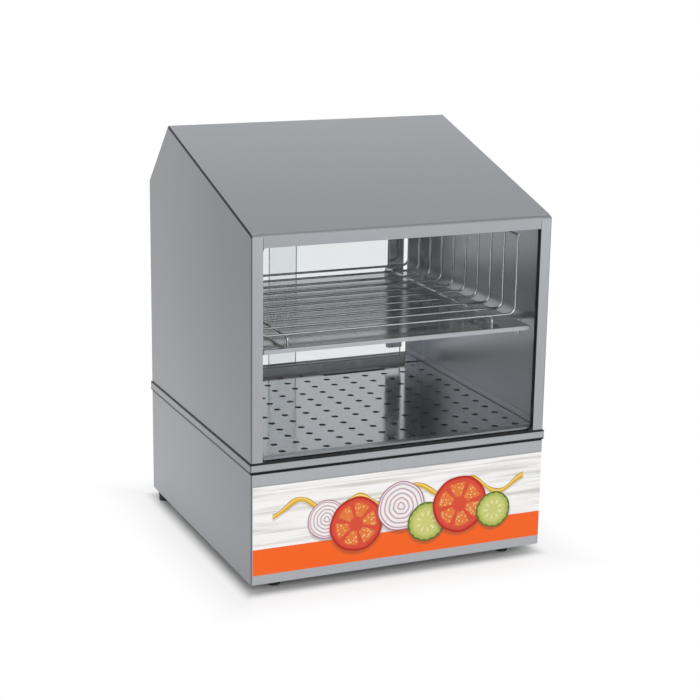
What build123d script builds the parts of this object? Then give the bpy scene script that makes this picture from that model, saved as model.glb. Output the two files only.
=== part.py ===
from build123d import *
import math
import os

# Hot dog steamer: a stainless counter cabinet. A base holds a heated water pan, a
# perforated tray lies over the pan, and a lift-off hood with a glass front, a bun
# shelf, a wire bun rack and two sliding glass doors at the back stands on the pan's rim.
#
# Frame: +Z up, origin at the centre of the footprint on the counter, -Y is the
# customer's side, +X is the customer's right. Every size is in millimetres.

# ---------------------------------------------------------------- cabinet sizes
body_w = 380.0             # width over the side panels
body_d = 376.0             # depth over the front posts and the rear flanges
sheet = 1.0                # stainless sheet
skin_h = 136.0             # height of the base skin
rim_h = 12.0               # height of the water pan's folded rim
rim_overhang = 1.5         # rim proud of the skin on all four sides
rim_bend_r = 1.4           # outer bend radius of the rim's two folds
hood_front_h = 265.0       # hood height at its front edge, above the rim
hood_rear_h = 270.0        # hood height at its rear edge
hood_peak_h = 349.0        # hood height at the ridge
ridge_setback = 297.0      # ridge behind the front edge
bend_r = 2.0               # outer bend radius of the panels
roof_bend_r = 4.0          # outer bend radius of the roof sheet
roof_inset = 1.5           # roof's cut edge inside the side panels' faces
fit_gap = 0.2              # gap between pieces that drop into one another
seam_gap = 0.4             # visible seam between panels

# feet
foot_h = 12.0
foot_r = 8.5
front_foot_in = 38.0       # front foot centres in from the sides
front_foot_back = 26.0     # front foot centres behind the front
rear_foot_in = 9.5         # rear foot centres in from the sides
rear_foot_back = 22.0      # rear foot centres in front of the rear
foot_taper = 0.7           # foot radius lost from top to bottom

# base skin
skin_corner_r = 2.0
skin_bottom_flange = 34.0
skin_side_flange = 14.0    # top flange along the sides
skin_rear_return = 22.0
rear_mouth_sill = 14.0     # skin left below the rear opening
rear_mouth_head = 10.0     # skin left above the rear opening
relief_r = 1.6             # bend relief at the front corners
cover_gap = 3.0            # bottom cover's edge inside the skin's walls
cover_screw_inset = 14.0   # screws in from the skin's edges
cover_screw_off = 47.0     # screws off the middle of each edge
cover_vent_l = 60.0
cover_vent_pitch = 16.0
cover_vent_count = 5
cover_vent_y = -60.0       # middle of the slots, clear of the water pan's drips

# printed front panel
print_t = 1.5
print_side_margin = 1.5
print_bottom_margin = 12.0
print_top_margin = 16.0

# water pan and tray
pan_depth = 60.0
pan_side_inset = 15.0      # pan's outer wall in from the skin's side
pan_front_inset = 27.0
pan_rear_inset = 49.0
pan_corner_r = 14.0
pan_floor_r = 6.0
rim_return = 10.0          # fold under the rim that rests on the skin
tray_front_gap = 18.0      # tray edge behind the hood's front face
tray_rear_gap = 40.0       # tray edge in front of the hood's rear face
tray_side_gap = 1.5        # tray edge inside the hood's hems
hole_r = 4.4
hole_pitch_x = 28.0
hole_pitch_y = 26.6
hole_edge = 12.0           # least tray left outside a hole
notch_w = 92.0
notch_d = 22.5
notch_x = 77.0
notch_corner_r = 3.0
tab_l = 40.0
tab_off = 75.0             # tabs in front of and behind the pan's middle
tab_drop = 8.0
tab_gap = 0.5              # tab inside the pan's wall
pin_r = 2.0
pin_h = 2.8
pin_inset = 9.0            # locating pins in from the sides

# heating element and its fittings
tube_r = 4.0
tube_floor_gap = 12.0
tube_bend_r = 22.0
tube_loop_w = 240.0
tube_front_gap = 42.0      # loop centre line behind the pan's front wall
tube_rear_gap = 48.0       # loop centre line in front of the pan's rear wall
tube_end_pitch = 44.0
tube_tail = 20.0           # tube beyond the pan's rear wall
bush_r = 7.0
bush_hex = 18.0            # across flats
bush_head_t = 4.0
bush_tail = 9.0
washer_t = 1.5
washer_r = 10.5
nut_t = 5.0
terminal_r = 1.5
terminal_l = 9.0
clip_w = 10.0
clip_t = 1.0
clip_off = 60.0            # front clips off the middle of the loop

# rear panel and controls
recess_depth = 15.0
recess_margin = 6.0        # recess mouth inside the skin's rear opening
recess_h = 72.0
recess_taper = 18.0
panel_lap = 8.0            # panel behind the skin's returns
vent_l = 26.0
vent_w = 5.0
vent_pitch = 38.0
vent_row_pitch = 11.0
vent_count = 8
control_z = 65.0
knob_inset = 94.0          # knob's axis in from the side
switch_x = 28.0
lamp_x = -28.0
gland_inset = 72.0         # cord gland's axis in from the other side
knob_r = 17.0              # grip bar, from the axis to its end
knob_barrel_r = 14.0
knob_bar_w = 8.5
knob_skirt_r = 20.0
knob_skirt_t = 2.5
knob_t = 13.0
knob_gap = 0.6
shaft_r = 3.0
shaft_clear = 0.06
stat_w = 42.0
stat_d = 26.0
stat_h = 36.0
stat_bush_r = 5.5
bulb_r = 4.0
bulb_l = 76.0
bulb_setback = 60.0        # bulb in front of the thermostat's body
capillary_r = 1.1
capillary_bend_r = 4.4
capillary_setback = 15.6   # where the capillary drops, in front of the body
limit_r = 8.5
limit_t = 7.0
switch_w = 15.0
switch_h = 25.0
switch_body_d = 20.0
bezel_t = 1.6
bezel_lip = 2.0
rocker_w = 10.6
rocker_r = 9.4
rocker_face = 5.2          # face of the rocker in front of its pivot
rocker_clear = 0.35
rocker_pivot_r = 1.5
rocker_swing = 20.0
pivot_clear = 0.06
lamp_r = 5.5
lamp_bezel_r = 7.5
gland_bore_r = 4.5
gland_thread_r = 8.0
gland_hex = 21.0
gland_hex_t = 5.0
gland_t = 14.5
gland_tail = 10.0
block_w = 46.0
block_d = 20.0
block_h = 16.0
block_setback = 30.0       # terminal block in front of the recess floor
block_pole_r = 3.0
block_poles = 4

# hood
post_w = 14.0
rear_flange_w = 9.0
hem_h = 10.0
hem_fold_r = 0.8           # rounding of the hood's lower edge
front_header_h = 15.0
rear_header_h = 20.0
glass_t = 4.0
gasket_front_leg = 1.4
gasket_rear_leg = 0.8
gasket_side_lip = 0.4      # gasket's inner edge inside the post's edge
gasket_cover = 8.4         # gasket's width behind the posts
gasket_bottom_h = 0.8
gasket_web = 0.5
gasket_top_h = 9.0         # gasket above the header's lower edge
gasket_corner_r = 7.0
sill_h = 3.0
retainer_leg = 12.0
jamb_setback = 36.0        # jamb plane in front of the hood's rear face
jamb_w = 26.0              # jamb from the hood's outer side
jamb_leg = 18.0

# bun shelf and its brackets
shelf_z = 130.5            # shelf surface above the rim
shelf_side_gap = 18.0
shelf_front_gap = 10.0
shelf_rear_gap = 40.0
shelf_lip = 5.5
shelf_bend_r = 1.5
bracket_w = 25.0
bracket_leg = 20.0
bracket_reach = 5.0        # ledge under the shelf's edge
bracket_y = 110.0

# wire bun rack
wire_r = 1.6
rack_w = 329.0             # centre to centre of the uprights
rack_shift_x = -4.0
rack_h = 97.0              # rail centre above the cross wires' centre
rack_first_y = 29.0        # first cross wire behind the hood's front face
rack_pitch = 33.4
rack_count = 10
rack_bend_r = 9.0
rack_leg_h = 8.3           # runner centre above the shelf
runner_span = 264.0
runner_bend_r = 4.0
rail_overrun = 3.0         # rails and runners past the first and last cross wire
weld_sink = 0.4            # wires sink this far into each other at a weld

# sliding doors and their tracks
door_w = 195.4
door_glass_t = 4.0
lane_pitch = 12.0
inner_lane_gap = 26.0      # inner pane's centre in front of the hood's rear face
lane_w = 9.0
track_floor_t = 1.5
track_wall_t = 1.5
track_h = 9.0
top_track_h = 14.0
door_bottom_gap = 1.5      # pane above the track floor
door_top_gap = 4.5         # lift-out room above the pane
door_play = 0.1
bumper_t = 1.5
right_door_open = 25.0     # how far the right door stands open
handle_wrap = 20.0
handle_t = 1.2
handle_lip = 4.6
handle_bottom = 19.0       # above the pane's lower edge
handle_top = 14.0          # below the pane's upper edge
glide_l = 16.0
glide_h = 5.0
glide_t = 1.0

# fasteners
screw_r = 2.0
screw_head_r = 3.4
screw_head_t = 1.4
screw_l = 6.0
foot_bore_r = 4.6
foot_bore_h = 7.0
foot_nut_hex = 7.0
foot_nut_t = 3.0
foot_washer_seat = 2.2

# ---------------------------------------------------------------- derived places
x_side = body_w / 2
knob_x = x_side - knob_inset
gland_x = -(x_side - gland_inset)
y_front = -body_d / 2
y_rear = body_d / 2
z_skin = foot_h
z_skin_top = z_skin + skin_h
z_rim = z_skin_top + rim_h
z_front_top = z_rim + hood_front_h
z_rear_top = z_rim + hood_rear_h
z_peak = z_rim + hood_peak_h
y_peak = y_front + ridge_setback
x_inner = x_side - sheet
x_hem = x_inner - sheet

pan_w = body_w - 2 * pan_side_inset
pan_y0 = y_front + pan_front_inset
pan_y1 = y_rear - pan_rear_inset
pan_l = pan_y1 - pan_y0
pan_mid = (pan_y0 + pan_y1) / 2
z_pan = z_rim - pan_depth
z_pan_floor = z_pan + sheet

gasket_d = gasket_front_leg + glass_t + gasket_rear_leg
y_jamb = y_rear - jamb_setback
y_inner_lane = y_rear - inner_lane_gap
y_outer_lane = y_inner_lane + lane_pitch
z_track_floor = z_rim + track_floor_t
z_header = z_front_top - front_header_h
z_rear_header = z_rear_top - rear_header_h
z_top_track = z_rear_header + 2 * sheet
z_top_plate = z_top_track + top_track_h - track_floor_t
z_door0 = z_track_floor + door_bottom_gap
z_door1 = z_top_plate - door_top_gap
z_shelf = z_rim + shelf_z
x_door_stop = x_hem - fit_gap - bumper_t

# screws and feet under the base, screws of the rear panel
corners = [(-1, -1), (-1, 1), (1, -1), (1, 1)]
front_foot_x = x_side - front_foot_in
front_foot_y = y_front + front_foot_back
rear_foot_x = x_side - rear_foot_in
rear_foot_y = y_rear - rear_foot_back
foot_spots = [
    (-front_foot_x, front_foot_y),
    (-rear_foot_x, rear_foot_y),
    (front_foot_x, front_foot_y),
    (rear_foot_x, rear_foot_y),
]
cover_screw_spots = [
    (sx * cover_screw_off, sy * (y_rear - cover_screw_inset)) for sx, sy in corners
] + [
    (sx * (x_side - cover_screw_inset), sy * cover_screw_off) for sx, sy in corners
]
z_cover = z_skin + sheet

mouth_w = body_w - 2 * skin_rear_return
z_mouth0 = z_skin + rear_mouth_sill
z_mouth1 = z_skin_top - rear_mouth_head
y_panel = y_rear - sheet
y_recess = y_panel - recess_depth
y_face = y_recess + sheet      # outer face of the recess floor
recess_w = mouth_w - 2 * recess_margin
panel_w = mouth_w + 2 * panel_lap
z_panel0 = z_mouth0 - panel_lap
z_panel1 = z_mouth1 + panel_lap
z_vents = (control_z + recess_h / 2 + z_mouth1) / 2
panel_screw_x = (mouth_w + panel_lap) / 2
panel_screw_spots = [
    (sx * panel_screw_x, z) for sx in (-1, 1) for z in (z_mouth0 + panel_lap, control_z, z_vents)
]

front_slope = (z_peak - z_front_top) / (y_peak - y_front)
rear_slope = (z_peak - z_rear_top) / (y_rear - y_peak)


def facing_front(y):
    """Plane at depth y whose normal points to the customer; local axes are X and Z."""
    return Plane.XZ.offset(-y)


def facing_back(y):
    """Plane at depth y whose normal points to the operator; local axes are -X and Z."""
    return Plane(origin=(0, y, 0), x_dir=(-1, 0, 0), z_dir=(0, 1, 0))


def front_roof_z(y, depth):
    """Height at y of the front slope, sunk by depth square to the slope."""
    return z_front_top + front_slope * (y - y_front) - depth * math.hypot(1, front_slope)


def rear_roof_z(y, depth):
    """Height at y of the rear slope, sunk by depth square to the slope."""
    return z_rear_top + rear_slope * (y_rear - y) - depth * math.hypot(1, rear_slope)


def hood_outline(depth, z_front_foot, z_rear_foot, inset=0):
    """Corners (y, z) of the hood's side view.

    The roof lines are sunk by depth, and the front and rear lines moved in by inset.
    """
    rise = rear_roof_z(y_front, depth) - front_roof_z(y_front, depth)
    y_ridge = y_front + rise / (front_slope + rear_slope)
    y0 = y_front + inset
    y1 = y_rear - inset
    return [
        (y0, z_front_foot),
        (y0, front_roof_z(y0, depth)),
        (y_ridge, front_roof_z(y_ridge, depth)),
        (y1, rear_roof_z(y1, depth)),
        (y1, z_rear_foot),
    ]


# ---------------------------------------------------------------- base skin
with BuildPart() as base_shell:
    with BuildSketch(Plane.XY.offset(z_skin)):
        RectangleRounded(body_w, body_d, skin_corner_r)
    extrude(amount=skin_h)
    fillet(base_shell.faces().sort_by(Axis.Z)[-1].edges(), radius=sheet)
    with BuildSketch(Plane.XY.offset(z_skin + sheet)):
        RectangleRounded(body_w - 2 * sheet, body_d - 2 * sheet, skin_corner_r - sheet / 2)
    extrude(amount=skin_h - 2 * sheet, mode=Mode.SUBTRACT)
    # mouth for the water pan, with a wider flange at the front and the back
    with BuildSketch(Plane.XY.offset(z_skin_top - 2 * sheet)):
        with Locations((0, pan_mid)):
            Rectangle(body_w - 2 * skin_side_flange, pan_l + 2 * sheet)
    extrude(amount=3 * sheet, mode=Mode.SUBTRACT)
    # open bottom, and the holes in its flange
    with BuildSketch(Plane.XY.offset(z_skin - sheet)):
        Rectangle(body_w - 2 * skin_bottom_flange, body_d - 2 * skin_bottom_flange)
        with Locations(*foot_spots, *cover_screw_spots):
            Circle(screw_r)
    extrude(amount=3 * sheet, mode=Mode.SUBTRACT)
    # opening for the rear panel, and the holes of its screws
    with BuildSketch(facing_front(y_rear + sheet)):
        with Locations((0, (z_mouth0 + z_mouth1) / 2)):
            Rectangle(mouth_w, z_mouth1 - z_mouth0)
        with Locations(*panel_screw_spots):
            Circle(screw_r)
    extrude(amount=3 * sheet, mode=Mode.SUBTRACT)
    # bend reliefs at the front corners, top and bottom
    for relief_z in (z_skin, z_skin_top):
        with BuildSketch(Plane.XY.offset(relief_z - sheet)):
            with Locations((-x_side, y_front), (x_side, y_front)):
                Circle(relief_r)
        extrude(amount=2 * sheet, mode=Mode.SUBTRACT)
base_shell.part.label = "base_shell"

# ---------------------------------------------------------------- bottom cover, feet
with BuildPart() as bottom_cover:
    with BuildSketch(Plane.XY.offset(z_cover)):
        RectangleRounded(
            body_w - 2 * (sheet + cover_gap), body_d - 2 * (sheet + cover_gap), skin_corner_r
        )
        with Locations((0, cover_vent_y)):
            with GridLocations(0, cover_vent_pitch, 1, cover_vent_count):
                SlotOverall(cover_vent_l, vent_w, mode=Mode.SUBTRACT)
        with Locations(*foot_spots, *cover_screw_spots):
            Circle(screw_r, mode=Mode.SUBTRACT)
    extrude(amount=sheet)
bottom_cover.part.label = "bottom_cover"

with BuildPart() as bottom_cover_screws:
    with BuildSketch(Plane.XY.offset(z_skin - screw_head_t)):
        with Locations(*cover_screw_spots):
            Circle(screw_head_r)
    extrude(amount=screw_head_t)
    with BuildSketch(Plane.XY.offset(z_skin)):
        with Locations(*cover_screw_spots):
            Circle(screw_r)
    extrude(amount=screw_l)
bottom_cover_screws.part.label = "bottom_cover_screws"

feet = []
foot_names = ("front_left", "rear_left", "front_right", "rear_right")
for foot_name, foot_spot in zip(foot_names, foot_spots):
    with BuildPart() as foot:
        with BuildSketch(Plane.XY.offset(foot_h)):
            with Locations(foot_spot):
                Circle(foot_r)
        with BuildSketch(Plane.XY):
            with Locations(foot_spot):
                Circle(foot_r - foot_taper)
        loft()
        with BuildSketch(Plane.XY):
            with Locations(foot_spot):
                Circle(foot_bore_r)
        extrude(amount=foot_bore_h, mode=Mode.SUBTRACT)
        with BuildSketch(Plane.XY):
            with Locations(foot_spot):
                Circle(screw_r)
        extrude(amount=foot_h, mode=Mode.SUBTRACT)
    foot.part.label = "foot_" + foot_name
    feet.append(foot)

z_foot_nut = z_cover + sheet
with BuildPart() as foot_screws:
    with BuildSketch(Plane.XY.offset(foot_bore_h - foot_washer_seat)):
        with Locations(*foot_spots):
            Circle(foot_bore_r - fit_gap)
    extrude(amount=foot_washer_seat)
    with BuildSketch(Plane.XY.offset(foot_bore_h)):
        with Locations(*foot_spots):
            Circle(screw_r)
    extrude(amount=z_foot_nut + foot_nut_t + sheet - foot_bore_h)
foot_screws.part.label = "foot_screws"

with BuildPart() as foot_nuts:
    with BuildSketch(Plane.XY.offset(z_foot_nut)):
        with Locations(*foot_spots):
            RegularPolygon(foot_nut_hex / 2, 6, major_radius=False)
            Circle(screw_r, mode=Mode.SUBTRACT)
    extrude(amount=foot_nut_t)
foot_nuts.part.label = "foot_nuts"

# ---------------------------------------------------------------- printed front panel
with BuildPart() as graphic_panel:
    with BuildSketch(facing_front(y_front)):
        with Locations((0, z_skin + (print_bottom_margin + skin_h - print_top_margin) / 2)):
            RectangleRounded(
                body_w - 2 * print_side_margin,
                skin_h - print_bottom_margin - print_top_margin,
                print_side_margin,
            )
    extrude(amount=print_t)
graphic_panel.part.label = "graphic_panel"

# ---------------------------------------------------------------- water pan
rim_w = body_w + 2 * rim_overhang
rim_l = body_d + 2 * rim_overhang
tube_end_spots = [(-tube_end_pitch / 2, 0), (tube_end_pitch / 2, 0)]
z_tube = z_pan_floor + tube_floor_gap + tube_r
pin_y0 = y_front + (sheet + gasket_d + tray_front_gap) / 2
pin_y1 = y_rear - sheet - 2 * pin_r
pin_spots = [(sx * (x_side - pin_inset), y) for sx in (-1, 1) for y in (pin_y0, pin_y1)]

with BuildPart() as water_pan:
    with BuildSketch(Plane.XY.offset(z_pan)):
        with Locations((0, pan_mid)):
            RectangleRounded(pan_w, pan_l, pan_corner_r)
    extrude(amount=pan_depth)
    fillet(water_pan.faces().sort_by(Axis.Z)[0].edges(), radius=pan_floor_r)
    offset(amount=-sheet, openings=water_pan.faces().sort_by(Axis.Z)[-1])
    # flat top of the rim
    with BuildSketch(Plane.XY.offset(z_rim - sheet)):
        RectangleRounded(rim_w, rim_l, skin_corner_r)
        with Locations((0, pan_mid)):
            RectangleRounded(
                pan_w - 2 * sheet, pan_l - 2 * sheet, pan_corner_r - sheet, mode=Mode.SUBTRACT
            )
    extrude(amount=sheet)
    # skirt of the rim
    with BuildSketch(Plane.XY.offset(z_skin_top)):
        RectangleRounded(rim_w, rim_l, skin_corner_r)
        RectangleRounded(
            rim_w - 2 * sheet, rim_l - 2 * sheet, skin_corner_r - sheet / 2, mode=Mode.SUBTRACT
        )
    extrude(amount=rim_h)
    # fold under the rim
    with BuildSketch(Plane.XY.offset(z_skin_top)):
        RectangleRounded(rim_w, rim_l, skin_corner_r)
        Rectangle(rim_w - 2 * rim_return, rim_l - 2 * rim_return, mode=Mode.SUBTRACT)
    extrude(amount=sheet)
    rim_edges = (
        water_pan.edges()
        .filter_by(lambda e: abs(abs(e.center().X) - rim_w / 2) < sheet / 4
                   or abs(abs(e.center().Y) - rim_l / 2) < sheet / 4)
        .filter_by(Axis.Z, reverse=True)
    )
    fillet(rim_edges, radius=rim_bend_r)
    # holes for the two ends of the heating element
    with BuildSketch(facing_front(pan_y1 + sheet)):
        with Locations((0, z_tube)):
            with Locations(*tube_end_spots):
                Circle(bush_r)
    extrude(amount=3 * sheet, mode=Mode.SUBTRACT)
water_pan.part.label = "water_pan"

with BuildPart() as locating_pins:
    with BuildSketch(Plane.XY.offset(z_rim)):
        with Locations(*pin_spots):
            Circle(pin_r)
    extrude(amount=pin_h)
locating_pins.part.label = "locating_pins"

# ---------------------------------------------------------------- heating element
tube_y0 = pan_y0 + tube_front_gap
tube_y1 = pan_y1 - tube_rear_gap
tube_y2 = pan_y1 + tube_tail
tube_x0 = tube_end_pitch / 2
tube_x1 = tube_loop_w / 2
tube_points = [
    (-tube_x0, tube_y2),
    (-tube_x0, tube_y1),
    (-tube_x1, tube_y1),
    (-tube_x1, tube_y0),
    (tube_x1, tube_y0),
    (tube_x1, tube_y1),
    (tube_x0, tube_y1),
    (tube_x0, tube_y2),
]

with BuildPart() as heating_element:
    with BuildLine(Plane.XY.offset(z_tube)) as tube_path:
        FilletPolyline(*tube_points, radius=tube_bend_r)
    with BuildSketch(facing_front(tube_y2)):
        with Locations((-tube_x0, z_tube)):
            Circle(tube_r)
    sweep(path=tube_path.wires()[0])
heating_element.part.label = "heating_element"

y_bush_head = pan_y1 - sheet - washer_t
with BuildPart() as element_bushings:
    with BuildSketch(facing_front(y_bush_head)):
        with Locations((-tube_x0, z_tube), (tube_x0, z_tube)):
            RegularPolygon(bush_hex / 2, 6, major_radius=False)
    extrude(amount=bush_head_t)
    with BuildSketch(facing_back(y_bush_head)):
        with Locations((-tube_x0, z_tube), (tube_x0, z_tube)):
            Circle(bush_r)
    extrude(amount=washer_t + sheet + bush_tail)
    with BuildSketch(facing_front(y_bush_head + washer_t + sheet + bush_tail)):
        with Locations((-tube_x0, z_tube), (tube_x0, z_tube)):
            Circle(tube_r)
    extrude(amount=bush_head_t + washer_t + sheet + bush_tail, mode=Mode.SUBTRACT)
element_bushings.part.label = "element_bushings"

with BuildPart() as bushing_gaskets:
    with BuildSketch(facing_front(pan_y1 - sheet)):
        with Locations((-tube_x0, z_tube), (tube_x0, z_tube)):
            Circle(washer_r)
            Circle(bush_r, mode=Mode.SUBTRACT)
    extrude(amount=washer_t)
bushing_gaskets.part.label = "bushing_gaskets"

with BuildPart() as bushing_nuts:
    with BuildSketch(facing_back(pan_y1)):
        with Locations((-tube_x0, z_tube), (tube_x0, z_tube)):
            RegularPolygon(bush_hex / 2, 6, major_radius=False)
            Circle(bush_r, mode=Mode.SUBTRACT)
    extrude(amount=nut_t)
bushing_nuts.part.label = "bushing_nuts"

with BuildPart() as element_terminals:
    with BuildSketch(facing_back(tube_y2)):
        with Locations((-tube_x0, z_tube), (tube_x0, z_tube)):
            Circle(terminal_r)
    extrude(amount=terminal_l)
    with BuildSketch(facing_back(tube_y2)):
        with Locations((-tube_x0, z_tube), (tube_x0, z_tube)):
            Rectangle(tube_r * 2, terminal_r)
    extrude(amount=terminal_l / 2)
element_terminals.part.label = "element_terminals"

clip_spots = [(-clip_off, tube_y0), (clip_off, tube_y0), (-tube_x1, pan_mid), (tube_x1, pan_mid)]
with BuildPart() as element_clips:
    for clip_x, clip_y in clip_spots:
        along_x = clip_y == tube_y0
        post_x = clip_w if along_x else 2 * (tube_r + clip_t)
        post_y = 2 * (tube_r + clip_t) if along_x else clip_w
        with BuildSketch(Plane.XY.offset(z_pan_floor)):
            with Locations((clip_x, clip_y)):
                Rectangle(post_x, post_y)
        extrude(amount=z_tube + tube_r / 2 - z_pan_floor)
        slot_x = clip_w if along_x else 2 * tube_r
        slot_y = 2 * tube_r if along_x else clip_w
        with BuildSketch(Plane.XY.offset(z_tube - tube_r)):
            with Locations((clip_x, clip_y)):
                Rectangle(slot_x, slot_y)
        extrude(amount=3 * tube_r, mode=Mode.SUBTRACT)
        with BuildSketch(Plane.XY.offset(z_pan_floor)):
            with Locations((clip_x, clip_y)):
                Rectangle(slot_x, slot_y)
        extrude(amount=tube_floor_gap - clip_t, mode=Mode.SUBTRACT)
element_clips.part.label = "element_clips"

# ---------------------------------------------------------------- perforated tray
tray_w = 2 * (x_hem - tray_side_gap)
tray_y0 = y_front + tray_front_gap
tray_y1 = y_rear - tray_rear_gap
tray_l = tray_y1 - tray_y0
tray_mid = (tray_y0 + tray_y1) / 2
hole_cols = int((tray_w - 2 * (hole_edge + hole_r)) / hole_pitch_x) + 1
hole_rows = int((tray_l - 2 * (hole_edge - hole_r)) / hole_pitch_y) + 1
notch_x0 = notch_x - notch_w / 2 - hole_edge + hole_r
notch_x1 = notch_x + notch_w / 2 + hole_edge - hole_r
notch_y0 = tray_y1 - notch_d - hole_r
hole_spots = []
for row in range(hole_rows):
    for col in range(hole_cols):
        spot_x = (col - (hole_cols - 1) / 2) * hole_pitch_x
        spot_y = tray_mid + (row - (hole_rows - 1) / 2) * hole_pitch_y
        if not (notch_x0 < spot_x < notch_x1 and spot_y > notch_y0):
            hole_spots.append((spot_x, spot_y))

with BuildPart() as perforated_tray:
    with BuildSketch(Plane.XY.offset(z_rim)):
        with Locations((0, tray_mid)):
            RectangleRounded(tray_w, tray_l, notch_corner_r)
        with Locations((notch_x, tray_y1)):
            RectangleRounded(notch_w, 2 * notch_d, notch_corner_r, mode=Mode.SUBTRACT)
        with Locations(*hole_spots):
            Circle(hole_r, mode=Mode.SUBTRACT)
    extrude(amount=sheet)
    tab_x = pan_w / 2 - sheet - tab_gap - sheet / 2
    with BuildSketch(Plane.XY.offset(z_rim - tab_drop)):
        with Locations((0, pan_mid)):
            with GridLocations(2 * tab_x, 2 * tab_off, 2, 2):
                Rectangle(sheet, tab_l)
    extrude(amount=tab_drop)
perforated_tray.part.label = "perforated_tray"

# ---------------------------------------------------------------- rear panel
with BuildPart() as rear_panel:
    with BuildSketch(facing_front(y_panel)):
        with Locations((0, (z_panel0 + z_panel1) / 2)):
            Rectangle(panel_w, z_panel1 - z_panel0)
        with Locations((0, z_vents)):
            with GridLocations(vent_pitch, vent_row_pitch, vent_count, 2):
                SlotOverall(vent_l, vent_w, mode=Mode.SUBTRACT)
        with Locations(*panel_screw_spots):
            Circle(screw_r, mode=Mode.SUBTRACT)
    extrude(amount=sheet)
    # dished recess for the controls
    with BuildSketch(facing_front(y_panel)):
        with Locations((0, control_z)):
            RectangleRounded(recess_w, recess_h, recess_margin)
    extrude(amount=recess_depth, taper=recess_taper)
    with BuildSketch(facing_front(y_panel)):
        with Locations((0, control_z)):
            RectangleRounded(recess_w - 2 * sheet, recess_h - 2 * sheet, recess_margin - sheet)
    extrude(amount=recess_depth - sheet, taper=recess_taper, mode=Mode.SUBTRACT)
    # holes for the shaft bush, the switch, the lamp and the gland
    with BuildSketch(facing_front(y_recess + 2 * sheet)):
        with Locations((knob_x, control_z)):
            Circle(stat_bush_r)
        with Locations((switch_x, control_z)):
            Rectangle(switch_w, switch_h)
        with Locations((lamp_x, control_z)):
            Circle(lamp_r)
        with Locations((gland_x, control_z)):
            Circle(gland_thread_r)
    extrude(amount=3 * sheet, mode=Mode.SUBTRACT)
rear_panel.part.label = "rear_panel"

with BuildPart() as rear_panel_screws:
    with BuildSketch(facing_back(y_rear)):
        with Locations(*panel_screw_spots):
            Circle(screw_head_r)
    extrude(amount=screw_head_t)
    with BuildSketch(facing_front(y_rear)):
        with Locations(*panel_screw_spots):
            Circle(screw_r)
    extrude(amount=screw_l)
rear_panel_screws.part.label = "rear_panel_screws"

# ---------------------------------------------------------------- thermostat
with BuildPart() as thermostat_body:
    with BuildSketch(facing_front(y_recess)):
        with Locations((knob_x, control_z)):
            RectangleRounded(stat_w, stat_h, 3 * sheet)
    extrude(amount=stat_d)
    with BuildSketch(facing_back(y_recess)):
        with Locations((-knob_x, control_z)):
            Circle(stat_bush_r)
    extrude(amount=sheet + knob_gap / 2)
    with BuildSketch(facing_front(y_face + knob_gap)):
        with Locations((knob_x, control_z)):
            Circle(shaft_r + shaft_clear)
    extrude(amount=stat_d / 2 + sheet + knob_gap, mode=Mode.SUBTRACT)
thermostat_body.part.label = "thermostat_body"

y_shaft_end = y_recess - stat_d / 2 + knob_gap
with BuildPart() as thermostat_shaft:
    with BuildSketch(facing_back(y_shaft_end)):
        with Locations((-knob_x, control_z)):
            Circle(shaft_r)
    extrude(amount=y_face + knob_t - knob_skirt_t - y_shaft_end)
thermostat_shaft.part.label = "thermostat_shaft"

y_knob = y_face + knob_gap
with BuildPart() as thermostat_knob:
    with BuildSketch(facing_back(y_knob)):
        with Locations((-knob_x, control_z)):
            Circle(knob_skirt_r)
    extrude(amount=knob_skirt_t)
    with BuildSketch(facing_back(y_knob + knob_skirt_t)):
        with Locations((-knob_x, control_z)):
            Circle(knob_barrel_r)
    extrude(amount=knob_t - knob_gap - knob_skirt_t)
    knob_top_edges = thermostat_knob.faces().sort_by(Axis.Y)[-1].edges()
    fillet(knob_top_edges, radius=knob_skirt_t / 2)
    # grip bar across the knob
    with BuildSketch(facing_back(y_knob)):
        with Locations((-knob_x, control_z)):
            SlotOverall(2 * knob_r, knob_bar_w, rotation=90)
    extrude(amount=knob_t - knob_gap)
    with BuildSketch(facing_back(y_knob - sheet)):
        with Locations((-knob_x, control_z)):
            Circle(shaft_r)
    extrude(amount=y_face + knob_t - knob_skirt_t - y_knob + sheet, mode=Mode.SUBTRACT)
thermostat_knob.part.label = "thermostat_knob"

# sensing bulb under the pan's floor, with its capillary back to the thermostat
z_bulb = z_pan - bulb_r
y_bulb = y_recess - stat_d - bulb_setback
y_drop = y_recess - stat_d - capillary_setback
bulb_x1 = knob_x - stat_w / 4
bulb_x0 = bulb_x1 - bulb_l
capillary_points = [
    (bulb_x1, y_bulb, z_bulb),
    (knob_x, y_bulb, z_bulb),
    (knob_x, y_drop, z_bulb),
    (knob_x, y_drop, control_z),
    (knob_x, y_recess - stat_d, control_z),
]
with BuildPart() as thermostat_bulb:
    with BuildSketch(Plane.YZ.offset(bulb_x0)):
        with Locations((y_bulb, z_bulb)):
            Circle(bulb_r)
    extrude(amount=bulb_l)
    fillet(thermostat_bulb.edges().filter_by(GeomType.CIRCLE), radius=bulb_r / 2)
    with BuildLine() as capillary_path:
        FilletPolyline(*capillary_points, radius=capillary_bend_r)
    with BuildSketch(Plane.YZ.offset(bulb_x1)):
        with Locations((y_bulb, z_bulb)):
            Circle(capillary_r)
    sweep(path=capillary_path.wires()[0])
thermostat_bulb.part.label = "thermostat_bulb"

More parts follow.
